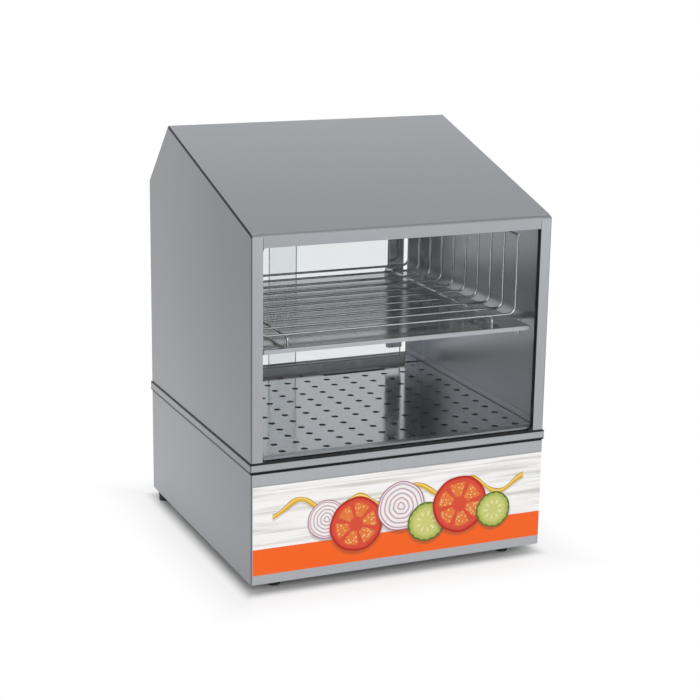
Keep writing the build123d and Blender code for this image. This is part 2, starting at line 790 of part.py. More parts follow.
with BuildPart() as bulb_clip:
    with BuildSketch(Plane.YZ.offset((bulb_x0 + bulb_x1 - clip_w) / 2)):
        with Locations((y_bulb, z_pan - (bulb_r + clip_t / 2))):
            Rectangle(2 * (bulb_r + clip_t), 2 * bulb_r + clip_t)
        with Locations((y_bulb, z_pan - clip_t / 2)):
            Rectangle(6 * bulb_r, clip_t)
        with Locations((y_bulb, z_bulb)):
            Circle(bulb_r, mode=Mode.SUBTRACT)
        with Locations((y_bulb, z_bulb + bulb_r / 2)):
            Rectangle(2 * bulb_r, bulb_r, mode=Mode.SUBTRACT)
    extrude(amount=clip_w)
bulb_clip.part.label = "bulb_clip"

with BuildPart() as limit_thermostat:
    with BuildSketch(Plane.XY.offset(z_pan - limit_t)):
        with Locations((-tube_x1 / 2, pan_mid)):
            Circle(limit_r)
    extrude(amount=limit_t)
    with BuildSketch(Plane.XY.offset(z_pan - sheet)):
        with Locations((-tube_x1 / 2, pan_mid)):
            SlotOverall(4 * limit_r, limit_r)
    extrude(amount=sheet)
    with BuildSketch(Plane.XY.offset(z_pan - limit_t - terminal_l)):
        with Locations((-tube_x1 / 2, pan_mid)):
            with GridLocations(limit_r, 0, 2, 1):
                Rectangle(sheet, 4 * terminal_r)
    extrude(amount=terminal_l)
limit_thermostat.part.label = "limit_thermostat"

# ---------------------------------------------------------------- power switch
y_pivot = y_face + bezel_t - rocker_r / 2
with BuildPart() as switch_housing:
    with BuildSketch(facing_back(y_face)):
        with Locations((-switch_x, control_z)):
            RectangleRounded(switch_w + 2 * bezel_lip, switch_h + 2 * bezel_lip, bezel_lip)
    extrude(amount=bezel_t)
    with BuildSketch(facing_front(y_face)):
        with Locations((switch_x, control_z)):
            Rectangle(switch_w, switch_h)
    extrude(amount=switch_body_d)
    with BuildSketch(facing_front(y_face + bezel_t)):
        with Locations((switch_x, control_z)):
            Rectangle(rocker_w + 2 * rocker_clear, 2 * (rocker_r + rocker_clear))
    extrude(amount=bezel_t + switch_body_d - 2 * sheet, mode=Mode.SUBTRACT)
    with BuildSketch(Plane.YZ.offset(switch_x)):
        with Locations((y_pivot, control_z)):
            Circle(rocker_pivot_r + pivot_clear)
    extrude(amount=switch_w / 2 - sheet / 2, both=True, mode=Mode.SUBTRACT)
    # blade contacts
    with BuildSketch(facing_front(y_face - switch_body_d)):
        with Locations((switch_x, control_z)):
            with GridLocations(0, switch_h / 2, 1, 2):
                Rectangle(4 * terminal_r, sheet)
    extrude(amount=terminal_l)
switch_housing.part.label = "switch_housing"

rocker_tilt = rocker_swing / 2
with BuildPart() as power_rocker:
    with BuildSketch(Plane.YZ.offset(switch_x)):
        with Locations((y_pivot, control_z)):
            Circle(rocker_r)
        # flat face, tipped to the off side
        with Locations(Location((y_pivot + rocker_face, control_z, 0), (0, 0, -rocker_tilt))):
            with Locations((rocker_r, 0)):
                Rectangle(2 * rocker_r, 3 * rocker_r, mode=Mode.SUBTRACT)
        with Locations((y_pivot - rocker_r, control_z)):
            Rectangle(rocker_r, 3 * rocker_r, mode=Mode.SUBTRACT)
    extrude(amount=rocker_w / 2, both=True)
    with BuildSketch(Plane.YZ.offset(switch_x)):
        with Locations((y_pivot, control_z)):
            Circle(rocker_pivot_r)
    extrude(amount=switch_w / 2 - sheet, both=True)
power_rocker.part.label = "power_rocker"

# ---------------------------------------------------------------- pilot lamp
with BuildPart() as pilot_lamp_body:
    with BuildSketch(facing_back(y_face)):
        with Locations((-lamp_x, control_z)):
            Circle(lamp_bezel_r)
    extrude(amount=bezel_t)
    with BuildSketch(facing_front(y_face)):
        with Locations((lamp_x, control_z)):
            Circle(lamp_r)
    extrude(amount=switch_body_d)
    with BuildSketch(facing_front(y_face + bezel_t)):
        with Locations((lamp_x, control_z)):
            Circle(lamp_r - sheet)
    extrude(amount=bezel_t + switch_body_d / 2, mode=Mode.SUBTRACT)
pilot_lamp_body.part.label = "pilot_lamp_body"

with BuildPart() as pilot_lamp_lens:
    with BuildSketch(facing_back(y_face - bezel_t)):
        with Locations((-lamp_x, control_z)):
            Circle(lamp_r - sheet)
    extrude(amount=3 * bezel_t)
    fillet(pilot_lamp_lens.faces().sort_by(Axis.Y)[-1].edges(), radius=bezel_t)
pilot_lamp_lens.part.label = "pilot_lamp_lens"

# ---------------------------------------------------------------- cord gland
with BuildPart() as cord_gland:
    with BuildSketch(facing_back(y_face)):
        with Locations((-gland_x, control_z)):
            RegularPolygon(gland_hex / 2, 6, major_radius=False)
    extrude(amount=gland_hex_t)
    with BuildSketch(facing_back(y_face + gland_hex_t)):
        with Locations((-gland_x, control_z)):
            Circle(gland_hex / 2)
    extrude(amount=gland_t - gland_hex_t)
    fillet(cord_gland.faces().sort_by(Axis.Y)[-1].edges(), radius=gland_hex_t / 2)
    with BuildSketch(facing_front(y_face)):
        with Locations((gland_x, control_z)):
            Circle(gland_thread_r)
    extrude(amount=sheet + gland_tail)
    with BuildSketch(facing_front(y_face + gland_t)):
        with Locations((gland_x, control_z)):
            Circle(gland_bore_r)
    extrude(amount=gland_t + sheet + gland_tail, mode=Mode.SUBTRACT)
cord_gland.part.label = "cord_gland"

with BuildPart() as gland_locknut:
    with BuildSketch(facing_front(y_recess)):
        with Locations((gland_x, control_z)):
            RegularPolygon(gland_hex / 2, 6, major_radius=False)
            Circle(gland_thread_r, mode=Mode.SUBTRACT)
    extrude(amount=gland_hex_t)
gland_locknut.part.label = "gland_locknut"

y_block = y_recess - block_setback
with BuildPart() as terminal_block:
    with BuildSketch(Plane.XY.offset(z_cover + sheet)):
        with Locations((gland_x, y_block - block_d / 2)):
            Rectangle(block_w, block_d)
    extrude(amount=block_h)
    with BuildSketch(facing_front(y_block)):
        with Locations((gland_x, z_cover + sheet + block_h / 2)):
            with GridLocations(block_w / block_poles, 0, block_poles, 1):
                Circle(block_pole_r)
    extrude(amount=block_d, mode=Mode.SUBTRACT)
terminal_block.part.label = "terminal_block"

# ---------------------------------------------------------------- hood side panels
def side_block(inset, z_foot):
    """Full block of the left side panel's outer form, each face moved in by inset."""
    with BuildPart() as block:
        with BuildSketch(Plane.YZ.offset(-x_side + inset)) as outline:
            with BuildLine():
                Polyline(*hood_outline(sheet + inset, z_foot, z_foot, inset), close=True)
            make_face()
            # the ridge lies inside the roof's bend, the other two corners show; the
            # sketch's own X and Y run along the part's Y and Z
            ridge = outline.vertices().sort_by(Axis.Y)[-1]
            fillet(ridge, radius=roof_bend_r - sheet - inset)
            for end in (0, -1):
                corner = outline.vertices().group_by(Axis.X)[end].sort_by(Axis.Y)[-1]
                fillet(corner, radius=roof_bend_r - inset)
        extrude(amount=post_w - inset)
        side_edges = block.faces().sort_by(Axis.X)[0].edges().sort_by(Axis.Z)[1:]
        fillet(side_edges, radius=bend_r - inset)
    return block.part


side_hollow = side_block(sheet, z_rim - sheet)
with BuildPart() as left_side_panel:
    add(side_block(0, z_rim))
    add(side_hollow, mode=Mode.SUBTRACT)
    # the rear flange is narrower than the front post, and clear of the roof's rear bend
    with BuildSketch(facing_front(y_rear)):
        with Locations((-x_side + rear_flange_w, z_rim)):
            Rectangle(post_w, z_rear_top - z_rim + roof_bend_r, align=(Align.MIN, Align.MIN))
    extrude(amount=roof_bend_r, mode=Mode.SUBTRACT)
    # hem folded inwards along the lower edge
    with BuildSketch(Plane.XY.offset(z_rim)):
        with Locations((-x_inner + sheet / 2, 0)):
            Rectangle(sheet, body_d - 2 * (sheet + bend_r))
    extrude(amount=hem_h)
    # the lower edge is rounded where the sheet folds
    outer_walls = (
        left_side_panel.faces().sort_by(Axis.X)[0].edges()
        + left_side_panel.faces().sort_by(Axis.Y)[0].edges()
        + left_side_panel.faces().sort_by(Axis.Y)[-1].edges()
    )
    fillet(outer_walls.filter_by_position(Axis.Z, z_rim, z_rim), radius=hem_fold_r)
left_side_panel.part.label = "left_side_panel"

with BuildPart() as right_side_panel:
    mirror(left_side_panel.part, about=Plane.YZ)
right_side_panel.part.label = "right_side_panel"

# ---------------------------------------------------------------- roof
with BuildPart() as roof_panel:
    with BuildSketch(Plane.YZ):
        with BuildLine():
            Polyline(*hood_outline(0, z_header, z_rear_header), close=True)
        make_face()
    extrude(amount=x_side - roof_inset, both=True)
    ridge_edges = roof_panel.edges().filter_by(Axis.X).filter_by_position(
        Axis.Z, z_header + front_header_h / 2, z_peak + sheet
    )
    fillet(ridge_edges, radius=roof_bend_r)
    offset(
        amount=-sheet,
        openings=[
            roof_panel.faces().sort_by(Axis.X)[0],
            roof_panel.faces().sort_by(Axis.X)[-1],
            roof_panel.faces().sort_by(Axis.Z)[0],
        ],
    )
    # the front header stops at the posts, the rear header at the rear flanges
    header_x = x_side - post_w - seam_gap
    rear_header_x = x_side - rear_flange_w - seam_gap
    for side in (-1, 1):
        with BuildSketch(facing_front(y_front + roof_bend_r)):
            with Locations((side * (header_x + post_w), z_header)):
                Rectangle(2 * post_w, 2 * front_header_h, align=(Align.CENTER, Align.MIN))
        extrude(amount=2 * roof_bend_r, mode=Mode.SUBTRACT)
        with BuildSketch(facing_back(y_rear - roof_bend_r)):
            with Locations((side * (rear_header_x + post_w), z_rear_header)):
                Rectangle(2 * post_w, 2 * rear_header_h, align=(Align.CENTER, Align.MIN))
        extrude(amount=2 * roof_bend_r, mode=Mode.SUBTRACT)
roof_panel.part.label = "roof_panel"

# ---------------------------------------------------------------- front glass
y_gasket = y_front + sheet
y_glass = y_gasket + gasket_front_leg
x_post_edge = x_side - post_w
x_gasket_in = x_post_edge - gasket_side_lip
x_gasket_out = x_post_edge + gasket_cover
z_gasket_top = z_header + gasket_top_h
z_gasket_in = z_rim + gasket_bottom_h
z_gasket_head = z_header + 2 * sheet
x_glass = x_gasket_out - 2 * sheet
z_glass0 = z_rim + gasket_web
z_glass1 = z_gasket_top - 2 * sheet

with BuildPart() as glass_gasket:
    with BuildSketch(facing_front(y_gasket)):
        with Locations((0, (z_rim + z_gasket_top) / 2)):
            Rectangle(2 * x_gasket_out, z_gasket_top - z_rim)
        with Locations((0, (z_gasket_in + z_gasket_head) / 2)):
            RectangleRounded(
                2 * x_gasket_in, z_gasket_head - z_gasket_in, gasket_corner_r, mode=Mode.SUBTRACT
            )
    extrude(amount=-gasket_d)
    with BuildSketch(facing_front(y_glass)):
        with Locations((0, (z_glass0 + z_glass1) / 2)):
            Rectangle(2 * x_glass, z_glass1 - z_glass0)
    extrude(amount=-glass_t, mode=Mode.SUBTRACT)
glass_gasket.part.label = "glass_gasket"

with BuildPart() as front_glass:
    with BuildSketch(facing_front(y_glass)):
        with Locations((0, (z_glass0 + z_glass1) / 2)):
            Rectangle(2 * x_glass, z_glass1 - z_glass0)
    extrude(amount=-glass_t)
front_glass.part.label = "front_glass"

y_sill0 = y_gasket + gasket_d
y_sill1 = tray_y0 - fit_gap
with BuildPart() as front_sill:
    with BuildSketch(Plane.XY.offset(z_rim)):
        with Locations((0, (y_sill0 + y_sill1) / 2)):
            Rectangle(2 * x_hem, y_sill1 - y_sill0)
        with Locations(*pin_spots):
            Circle(pin_r + fit_gap, mode=Mode.SUBTRACT)
    extrude(amount=sill_h)
front_sill.part.label = "front_sill"

z_retainer0 = z_rim + hem_h
z_retainer1 = z_gasket_top
with BuildPart() as left_glass_retainer:
    with BuildSketch(Plane.XY.offset(z_retainer0)):
        with Locations((-x_inner, y_sill0)):
            Rectangle(retainer_leg, sheet, align=(Align.MIN, Align.MIN))
            Rectangle(sheet, retainer_leg, align=(Align.MIN, Align.MIN))
    extrude(amount=z_retainer1 - z_retainer0)
left_glass_retainer.part.label = "left_glass_retainer"

with BuildPart() as right_glass_retainer:
    mirror(left_glass_retainer.part, about=Plane.YZ)
right_glass_retainer.part.label = "right_glass_retainer"

# ---------------------------------------------------------------- rear door frame
z_jamb_top = rear_roof_z(y_jamb + jamb_leg, 2 * sheet) - bend_r
with BuildPart() as left_rear_jamb:
    with BuildSketch(Plane.XY.offset(z_rim)):
        with Locations((-x_inner, y_jamb)):
            Rectangle(jamb_w - sheet, sheet, align=(Align.MIN, Align.MIN))
            Rectangle(sheet, jamb_leg, align=(Align.MIN, Align.MIN))
    extrude(amount=z_jamb_top - z_rim)
    # clear of the hem at the foot
    with BuildSketch(Plane.XY.offset(z_rim)):
        with Locations((-x_inner, y_jamb + jamb_leg / 2)):
            Rectangle(2 * sheet, 2 * jamb_leg)
    extrude(amount=hem_h, mode=Mode.SUBTRACT)
left_rear_jamb.part.label = "left_rear_jamb"

with BuildPart() as right_rear_jamb:
    mirror(left_rear_jamb.part, about=Plane.YZ)
right_rear_jamb.part.label = "right_rear_jamb"

x_jamb_edge = x_side - jamb_w
with BuildPart() as rear_header:
    with BuildSketch(facing_front(y_jamb + sheet)):
        with Locations((0, z_rear_header)):
            Rectangle(
                2 * x_jamb_edge,
                rear_roof_z(y_jamb + sheet, sheet) - z_rear_header,
                align=(Align.CENTER, Align.MIN),
            )
    extrude(amount=sheet)
rear_header.part.label = "rear_header"

lanes = (y_inner_lane, y_outer_lane)
y_track0 = y_jamb + sheet
y_track1 = y_rear - sheet
with BuildPart() as bottom_track:
    with BuildSketch(Plane.YZ):
        with Locations(((y_track0 + y_track1) / 2, z_rim + track_floor_t / 2)):
            Rectangle(y_track1 - y_track0, track_floor_t)
        for lane in lanes:
            for side in (-1, 1):
                with Locations((lane + side * (lane_w + track_wall_t) / 2, z_rim)):
                    Rectangle(track_wall_t, track_h, align=(Align.CENTER, Align.MIN))
    extrude(amount=x_hem - fit_gap, both=True)
    with BuildSketch(Plane.XY.offset(z_rim - sheet)):
        with Locations(*pin_spots):
            Circle(pin_r + fit_gap)
    extrude(amount=track_floor_t + 2 * sheet, mode=Mode.SUBTRACT)
bottom_track.part.label = "bottom_track"

with BuildPart() as top_track:
    with BuildSketch(Plane.YZ):
        with Locations(((y_track0 + y_track1) / 2, z_top_plate + track_floor_t / 2)):
            Rectangle(y_track1 - y_track0, track_floor_t)
        for lane in lanes:
            for side in (-1, 1):
                with Locations((lane + side * (lane_w + track_wall_t) / 2, z_top_track)):
                    Rectangle(track_wall_t, top_track_h, align=(Align.CENTER, Align.MIN))
    extrude(amount=x_hem - fit_gap, both=True)
top_track.part.label = "top_track"

with BuildPart() as door_bumpers:
    with BuildSketch(Plane.XY.offset(z_track_floor)):
        for lane in lanes:
            with Locations((0, lane)):
                with GridLocations(2 * x_door_stop + bumper_t, 0, 2, 1):
                    Rectangle(bumper_t, lane_w)
    extrude(amount=track_h - track_floor_t)
door_bumpers.part.label = "door_bumpers"

# ---------------------------------------------------------------- sliding doors
left_edge_closed = -(x_door_stop - door_play)
right_edge_rest = x_door_stop - door_play - right_door_open


def door_pieces(side, free_edge, lane):
    """Glass, edge pull and two glides of one door.

    side is -1 for the left door and 1 for the right one, free_edge is the x of the
    edge with the pull, and lane is the depth of the pane's middle.
    """
    edge = free_edge - side * handle_t
    far_edge = free_edge - side * door_w
    pane_mid = (edge + far_edge) / 2
    pane_w = abs(edge - far_edge)
    with BuildPart() as glass:
        with BuildSketch(facing_front(lane + door_glass_t / 2)):
            with Locations((pane_mid, (z_door0 + z_door1) / 2)):
                Rectangle(pane_w, z_door1 - z_door0)
        extrude(amount=door_glass_t)

    with BuildPart() as pull:
        with BuildSketch(Plane.XY.offset(z_door0 + handle_bottom)):
            with Locations((free_edge - side * (handle_wrap + handle_t) / 2, lane)):
                Rectangle(handle_wrap + handle_t, door_glass_t + 2 * handle_t)
            with Locations((free_edge - side * handle_t / 2, lane + door_glass_t / 2 + handle_t)):
                Rectangle(handle_t, handle_lip, align=(Align.CENTER, Align.MIN))
            with Locations((pane_mid, lane)):
                Rectangle(pane_w, door_glass_t, mode=Mode.SUBTRACT)
        extrude(amount=z_door1 - handle_top - z_door0 - handle_bottom)

    glide_z0 = z_track_floor + fit_gap
    with BuildPart() as glides:
        with BuildSketch(Plane.XY.offset(glide_z0)):
            for end, way in ((free_edge, side), (far_edge, -side)):
                with Locations((end - way * (glide_l + handle_t) / 2, lane)):
                    Rectangle(glide_l + handle_t, door_glass_t + 2 * glide_t)
        extrude(amount=glide_h)
        with BuildSketch(Plane.XY.offset(z_door0)):
            with Locations((pane_mid, lane)):
                Rectangle(pane_w, door_glass_t)
        extrude(amount=glide_h, mode=Mode.SUBTRACT)
    return glass, pull, glides


left_door_glass, left_door_handle, left_door_glides = door_pieces(
    -1, left_edge_closed, y_outer_lane
)
right_door_glass, right_door_handle, right_door_glides = door_pieces(
    1, right_edge_rest, y_inner_lane
)
left_door_glass.part.label = "left_door_glass"
left_door_handle.part.label = "left_door_handle"
left_door_glides.part.label = "left_door_glides"
right_door_glass.part.label = "right_door_glass"
right_door_handle.part.label = "right_door_handle"
right_door_glides.part.label = "right_door_glides"

# ---------------------------------------------------------------- bun shelf
shelf_x = x_side - shelf_side_gap
shelf_y0 = y_front + shelf_front_gap
shelf_y1 = y_rear - shelf_rear_gap
with BuildPart() as bun_shelf:
    with BuildSketch(Plane.XY.offset(z_shelf - shelf_lip)):
        with Locations((0, (shelf_y0 + shelf_y1) / 2)):
            RectangleRounded(2 * shelf_x, shelf_y1 - shelf_y0, shelf_bend_r)
    extrude(amount=shelf_lip)
    fillet(bun_shelf.faces().sort_by(Axis.Z)[-1].edges(), radius=shelf_bend_r)
    offset(amount=-sheet, openings=bun_shelf.faces().sort_by(Axis.Z)[0])
bun_shelf.part.label = "bun_shelf"

bracket_ledge = x_inner - shelf_x + bracket_reach
with BuildPart() as shelf_brackets:
    for side in (-1, 1):
        for bracket_mid in (-bracket_y, bracket_y):
            ledge_align = (Align.MIN if side < 0 else Align.MAX, Align.MAX)
            with BuildSketch(facing_front(bracket_mid + bracket_w / 2)):
                with Locations((side * x_inner, z_shelf - shelf_lip)):
                    Rectangle(bracket_ledge, sheet, align=ledge_align)
                    Rectangle(sheet, bracket_leg, align=ledge_align)
            extrude(amount=bracket_w)
shelf_brackets.part.label = "shelf_brackets"

# ---------------------------------------------------------------- wire bun rack
z_runner = z_shelf + rack_leg_h
z_cross = z_runner + 2 * wire_r - weld_sink
z_rail = z_cross + rack_h
z_upright = z_rail - wire_r + weld_sink
rack_x0 = rack_shift_x - rack_w / 2
rack_x1 = rack_shift_x + rack_w / 2
rack_y0 = y_front + rack_first_y
rack_y1 = rack_y0 + (rack_count - 1) * rack_pitch

with BuildPart() as bun_rack:
    # cross wires, each bent up into an upright at both ends
    for wire in range(rack_count):
        wire_y = rack_y0 + wire * rack_pitch
        with BuildLine(facing_front(wire_y)) as wire_path:
            FilletPolyline(
                (rack_x0, z_upright),
                (rack_x0, z_cross),
                (rack_x1, z_cross),
                (rack_x1, z_upright),
                radius=rack_bend_r,
            )
        with BuildSketch(Plane.XY.offset(z_upright)):
            with Locations((rack_x0, wire_y)):
                Circle(wire_r)
        sweep(path=wire_path.wires()[0])
    # rails along the tops of the uprights
    with BuildSketch(facing_front(rack_y1 + rail_overrun)):
        with Locations((rack_x0, z_rail), (rack_x1, z_rail)):
            Circle(wire_r)
    extrude(amount=rack_y1 - rack_y0 + 2 * rail_overrun)
    # runners under the cross wires, their ends turned down as legs
    for runner_x in (rack_shift_x - runner_span / 2, rack_shift_x + runner_span / 2):
        with BuildLine(Plane.YZ.offset(runner_x)) as runner_path:
            FilletPolyline(
                (rack_y0 - rail_overrun, z_shelf),
                (rack_y0 - rail_overrun, z_runner),
                (rack_y1 + rail_overrun, z_runner),
                (rack_y1 + rail_overrun, z_shelf),
                radius=runner_bend_r,
            )
        with BuildSketch(Plane.XY.offset(z_shelf)):
            with Locations((runner_x, rack_y0 - rail_overrun)):
                Circle(wire_r)
        sweep(path=runner_path.wires()[0])
bun_rack.part.label = "bun_rack"

# ---------------------------------------------------------------- files
os.makedirs("parts", exist_ok=True)
pieces = [
    base_shell,
    bottom_cover,
    bottom_cover_screws,
    *feet,
    foot_screws,
    foot_nuts,
    graphic_panel,
    water_pan,
    locating_pins,
    heating_element,
    element_bushings,
    bushing_gaskets,
    bushing_nuts,
    element_terminals,
    element_clips,
    rear_panel,
    rear_panel_screws,
    thermostat_body,
    thermostat_shaft,
    thermostat_knob,
    thermostat_bulb,
    bulb_clip,
    limit_thermostat,
    switch_housing,
    power_rocker,
    pilot_lamp_body,
    pilot_lamp_lens,
    cord_gland,
    gland_locknut,
    terminal_block,
    perforated_tray,
    left_side_panel,
    right_side_panel,
    roof_panel,
    glass_gasket,
    front_glass,
    front_sill,
    left_glass_retainer,
    right_glass_retainer,
    left_rear_jamb,
    right_rear_jamb,
    rear_header,
    bottom_track,
    top_track,
    door_bumpers,
    left_door_glass,
    left_door_handle,
    left_door_glides,
    right_door_glass,
    right_door_handle,
    right_door_glides,
    bun_shelf,
    shelf_brackets,
    bun_rack,
]
for piece in pieces:
    export_step(piece.part, f"parts/{piece.part.label}.step")
    print(piece.part.label, len(piece.part.solids()), round(piece.part.volume, 1))
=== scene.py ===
"""Looks of a counter hot dog steamer: its finishes, fine fittings, studio and camera."""

import logging
import math
from dataclasses import dataclass
from enum import Enum
from typing import Any, Callable, Optional, Union

import bmesh
import bpy
from mathutils import Matrix, Vector


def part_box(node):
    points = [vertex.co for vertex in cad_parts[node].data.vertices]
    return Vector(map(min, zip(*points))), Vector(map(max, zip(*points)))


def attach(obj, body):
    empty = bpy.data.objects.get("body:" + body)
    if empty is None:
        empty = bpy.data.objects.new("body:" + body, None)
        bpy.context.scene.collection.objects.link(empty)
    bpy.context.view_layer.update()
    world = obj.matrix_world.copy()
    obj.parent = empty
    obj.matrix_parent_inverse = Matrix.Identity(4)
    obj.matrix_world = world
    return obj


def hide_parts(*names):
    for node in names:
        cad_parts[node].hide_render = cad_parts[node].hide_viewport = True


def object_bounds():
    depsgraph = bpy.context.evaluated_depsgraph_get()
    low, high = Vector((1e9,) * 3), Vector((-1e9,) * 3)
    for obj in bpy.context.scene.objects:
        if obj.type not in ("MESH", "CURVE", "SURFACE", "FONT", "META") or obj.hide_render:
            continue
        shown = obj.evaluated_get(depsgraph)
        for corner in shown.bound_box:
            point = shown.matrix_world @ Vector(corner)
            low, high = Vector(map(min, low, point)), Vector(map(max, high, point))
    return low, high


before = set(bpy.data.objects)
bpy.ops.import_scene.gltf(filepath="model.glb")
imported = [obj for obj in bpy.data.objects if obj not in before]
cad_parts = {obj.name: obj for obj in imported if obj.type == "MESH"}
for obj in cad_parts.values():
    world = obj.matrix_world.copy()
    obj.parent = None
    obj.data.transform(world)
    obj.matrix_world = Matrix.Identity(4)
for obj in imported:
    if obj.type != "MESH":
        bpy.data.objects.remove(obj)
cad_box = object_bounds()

log = logging.getLogger("steamer")

MM = 0.001
Colour = tuple[float, float, float]
Point = tuple[float, float, float]
Span = tuple[float, float]
Mesh = bmesh.types.BMesh
Socket = bpy.types.NodeSocket
Fields = dict[str, Any]
WHITE = (1.0, 1.0, 1.0)


# shader tools
def operator(operation: str, swapped: bool = False) -> Callable[..., "Signal"]:
    """Makes one of a Signal's operators.

    Args:
        operation: the Math node's operation.
        swapped: whether the signal is the second value.

    Returns:
        The operator.
    """

    def apply(self: "Signal", *others: Union["Signal", float]) -> "Signal":
        """Adds the Math node."""
        return self.tree.maths(operation, *((*others, self) if swapped else (self, *others)))

    return apply


class Signal:
    """One output of a node tree, with Python's operators on it."""

    __add__ = operator("ADD")
    __radd__ = operator("ADD", swapped=True)
    __sub__ = operator("SUBTRACT")
    __rsub__ = operator("SUBTRACT", swapped=True)
    __mul__ = operator("MULTIPLY")
    __rmul__ = operator("MULTIPLY", swapped=True)
    __truediv__ = operator("DIVIDE")
    __pow__ = operator("POWER")
    __abs__ = operator("ABSOLUTE")
    most = operator("MAXIMUM")
    sine = operator("SINE")
    fraction = operator("FRACT")

    def __init__(self, tree: "Tree", socket: Socket) -> None:
        """Keeps the tree and the socket."""
        self.tree = tree
        self.socket = socket

    def rise(self, low: float, high: float) -> "Signal":
        """Smooth step between two values.

        Args:
            low: value that gives 0; it may be the larger of the two.
            high: value that gives 1.

        Returns:
            The step, from 0 to 1.
        """
        if low > high:
            return 1.0 - self.rise(high, low)
        settings = {"interpolation_type": "SMOOTHSTEP"}
        inputs = {"Value": self, "From Min": low, "From Max": high}
        node = self.tree.node("ShaderNodeMapRange", settings, inputs)
        return Signal(self.tree, node.outputs[0])

    def mix(self, first: Any, second: Any) -> "Signal":
        """Mixes two colours, with itself as the factor.

        Args:
            first: the colour at 0, plain or linked.
            second: the colour at 1.

        Returns:
            The mixed colour.
        """
        inputs = {"Factor": self, "A": first, "B": second}
        node = self.tree.node("ShaderNodeMix", {"data_type": "RGBA"}, inputs)
        return Signal(self.tree, next(s for s in node.outputs if s.enabled))

    def parts(self) -> tuple["Signal", "Signal", "Signal"]:
        """X, Y and Z of a vector."""
        node = self.tree.node("ShaderNodeSeparateXYZ", inputs={"Vector": self})
        return tuple(Signal(self.tree, socket) for socket in node.outputs)

    def vector(self, operation: str, other: Any, output: str = "Vector") -> "Signal":
        """Adds a Vector Math node for this vector and another one.

        Args:
            operation: the node's operation.
            other: the second vector, plain or linked.
            output: the output wanted, Value where the operation gives a number.

        Returns:
            That output.
        """
        node = self.tree.node("ShaderNodeVectorMath", {"operation": operation})
        for socket, value in zip(node.inputs, (self, other)):
            self.tree.feed(socket, value)
        return Signal(self.tree, node.outputs[output])

    def noise(self, scale: float, detail: float = 2.0) -> "Signal":
        """Smooth noise over a place, from 0 to 1 about a mean of a half.

        Args:
            scale: its size, per unit of the place.
            detail: finer layers that are added.

        Returns:
            The noise.
        """
        inputs = {"Vector": self, "Scale": scale, "Detail": detail}
        return Signal(self.tree, self.tree.node("ShaderNodeTexNoise", inputs=inputs).outputs[0])


Number = Union[Signal, float]


class Tree:
    """Node tree of one material or of the world."""

    def __init__(self, owner: Union[bpy.types.Material, bpy.types.World]) -> None:
        """Empties its owner's node tree and keeps it."""
        owner.use_nodes = True
        self.tree = owner.node_tree
        self.tree.nodes.clear()

    def node(
        self, kind: str, settings: Optional[Fields] = None, inputs: Optional[Fields] = None
    ) -> bpy.types.Node:
        """Adds a node.

        Args:
            kind: the node's type.
            settings: its own properties, set first.
            inputs: a value, Signal or socket for each input socket, by name.

        Returns:
            The new node.
        """
        node = self.tree.nodes.new(kind)
        for name, value in (settings or {}).items():
            setattr(node, name, value)
        for name, value in (inputs or {}).items():
            socket = next(s for s in node.inputs if s.name == name and s.enabled)
            self.feed(socket, value)
        return node

    def feed(self, socket: Socket, value: Any) -> None:
        """Links a Signal or a socket to an input, or sets its plain value.

        Args:
            socket: the input.
            value: what it gets; a plain colour may leave out its alpha.
        """
        if isinstance(value, Signal):
            self.tree.links.new(value.socket, socket)
        elif isinstance(value, Socket):
            self.tree.links.new(value, socket)
        elif isinstance(value, tuple) and len(value) == 3 and len(socket.default_value) == 4:
            socket.default_value = (*value, 1.0)
        else:
            socket.default_value = value

    def maths(self, operation: str, *values: Number) -> Signal:
        """Adds a Math node.

        Args:
            operation: the node's operation.
            *values: its inputs in order.

        Returns:
            Its output.
        """
        node = self.node("ShaderNodeMath", {"operation": operation})
        for socket, value in zip(node.inputs, values):
            self.feed(socket, value)
        return Signal(self, node.outputs[0])

    def place(self) -> Signal:
        """Vector of the point on the piece, in metres."""
        return Signal(self, self.node("ShaderNodeTexCoord").outputs["Object"])

    def normal(self) -> Signal:
        """Vector square to the piece's surface."""
        return Signal(self, self.node("ShaderNodeTexCoord").outputs["Normal"])

    def bump(self, height: Signal, strength: float, depth: float) -> Signal:
        """Normal tilted by a height map.

        Args:
            height: the height from 0 to 1.
            strength: share of the effect.
            depth: height in metres that 1 stands for.

        Returns:
            The tilted normal.
        """
        inputs = {"Strength": strength, "Distance": depth, "Height": height}
        return Signal(self, self.node("ShaderNodeBump", inputs=inputs).outputs[0])

    def shader(self, colour: Any, rough: Any, others: Optional[Fields] = None) -> Socket:
        """Adds a Principled shader.

        Args:
            colour: its base colour.
            rough: its roughness.
            others: its other inputs, by name.

        Returns:
            Its output.
        """
        inputs = {"Base Color": colour, "Roughness": rough, **(others or {})}
        return self.node("ShaderNodeBsdfPrincipled", inputs=inputs).outputs[0]

    def blend(self, factor: Number, first: Any, second: Any) -> Socket:
        """Mixes two shaders.

        Args:
            factor: 0 for the first and 1 for the second.
            first: a shader's output.
            second: another one.

        Returns:
            The mixed shader's output.
        """
        node = self.node("ShaderNodeMixShader")
        for socket, value in zip(node.inputs, (factor, first, second)):
            self.feed(socket, value)
        return node.outputs[0]

    def surface(self, shader: Socket, kind: str = "Material") -> None:
        """Feeds the tree's output."""
        self.node(f"ShaderNodeOutput{kind}", inputs={"Surface": shader})


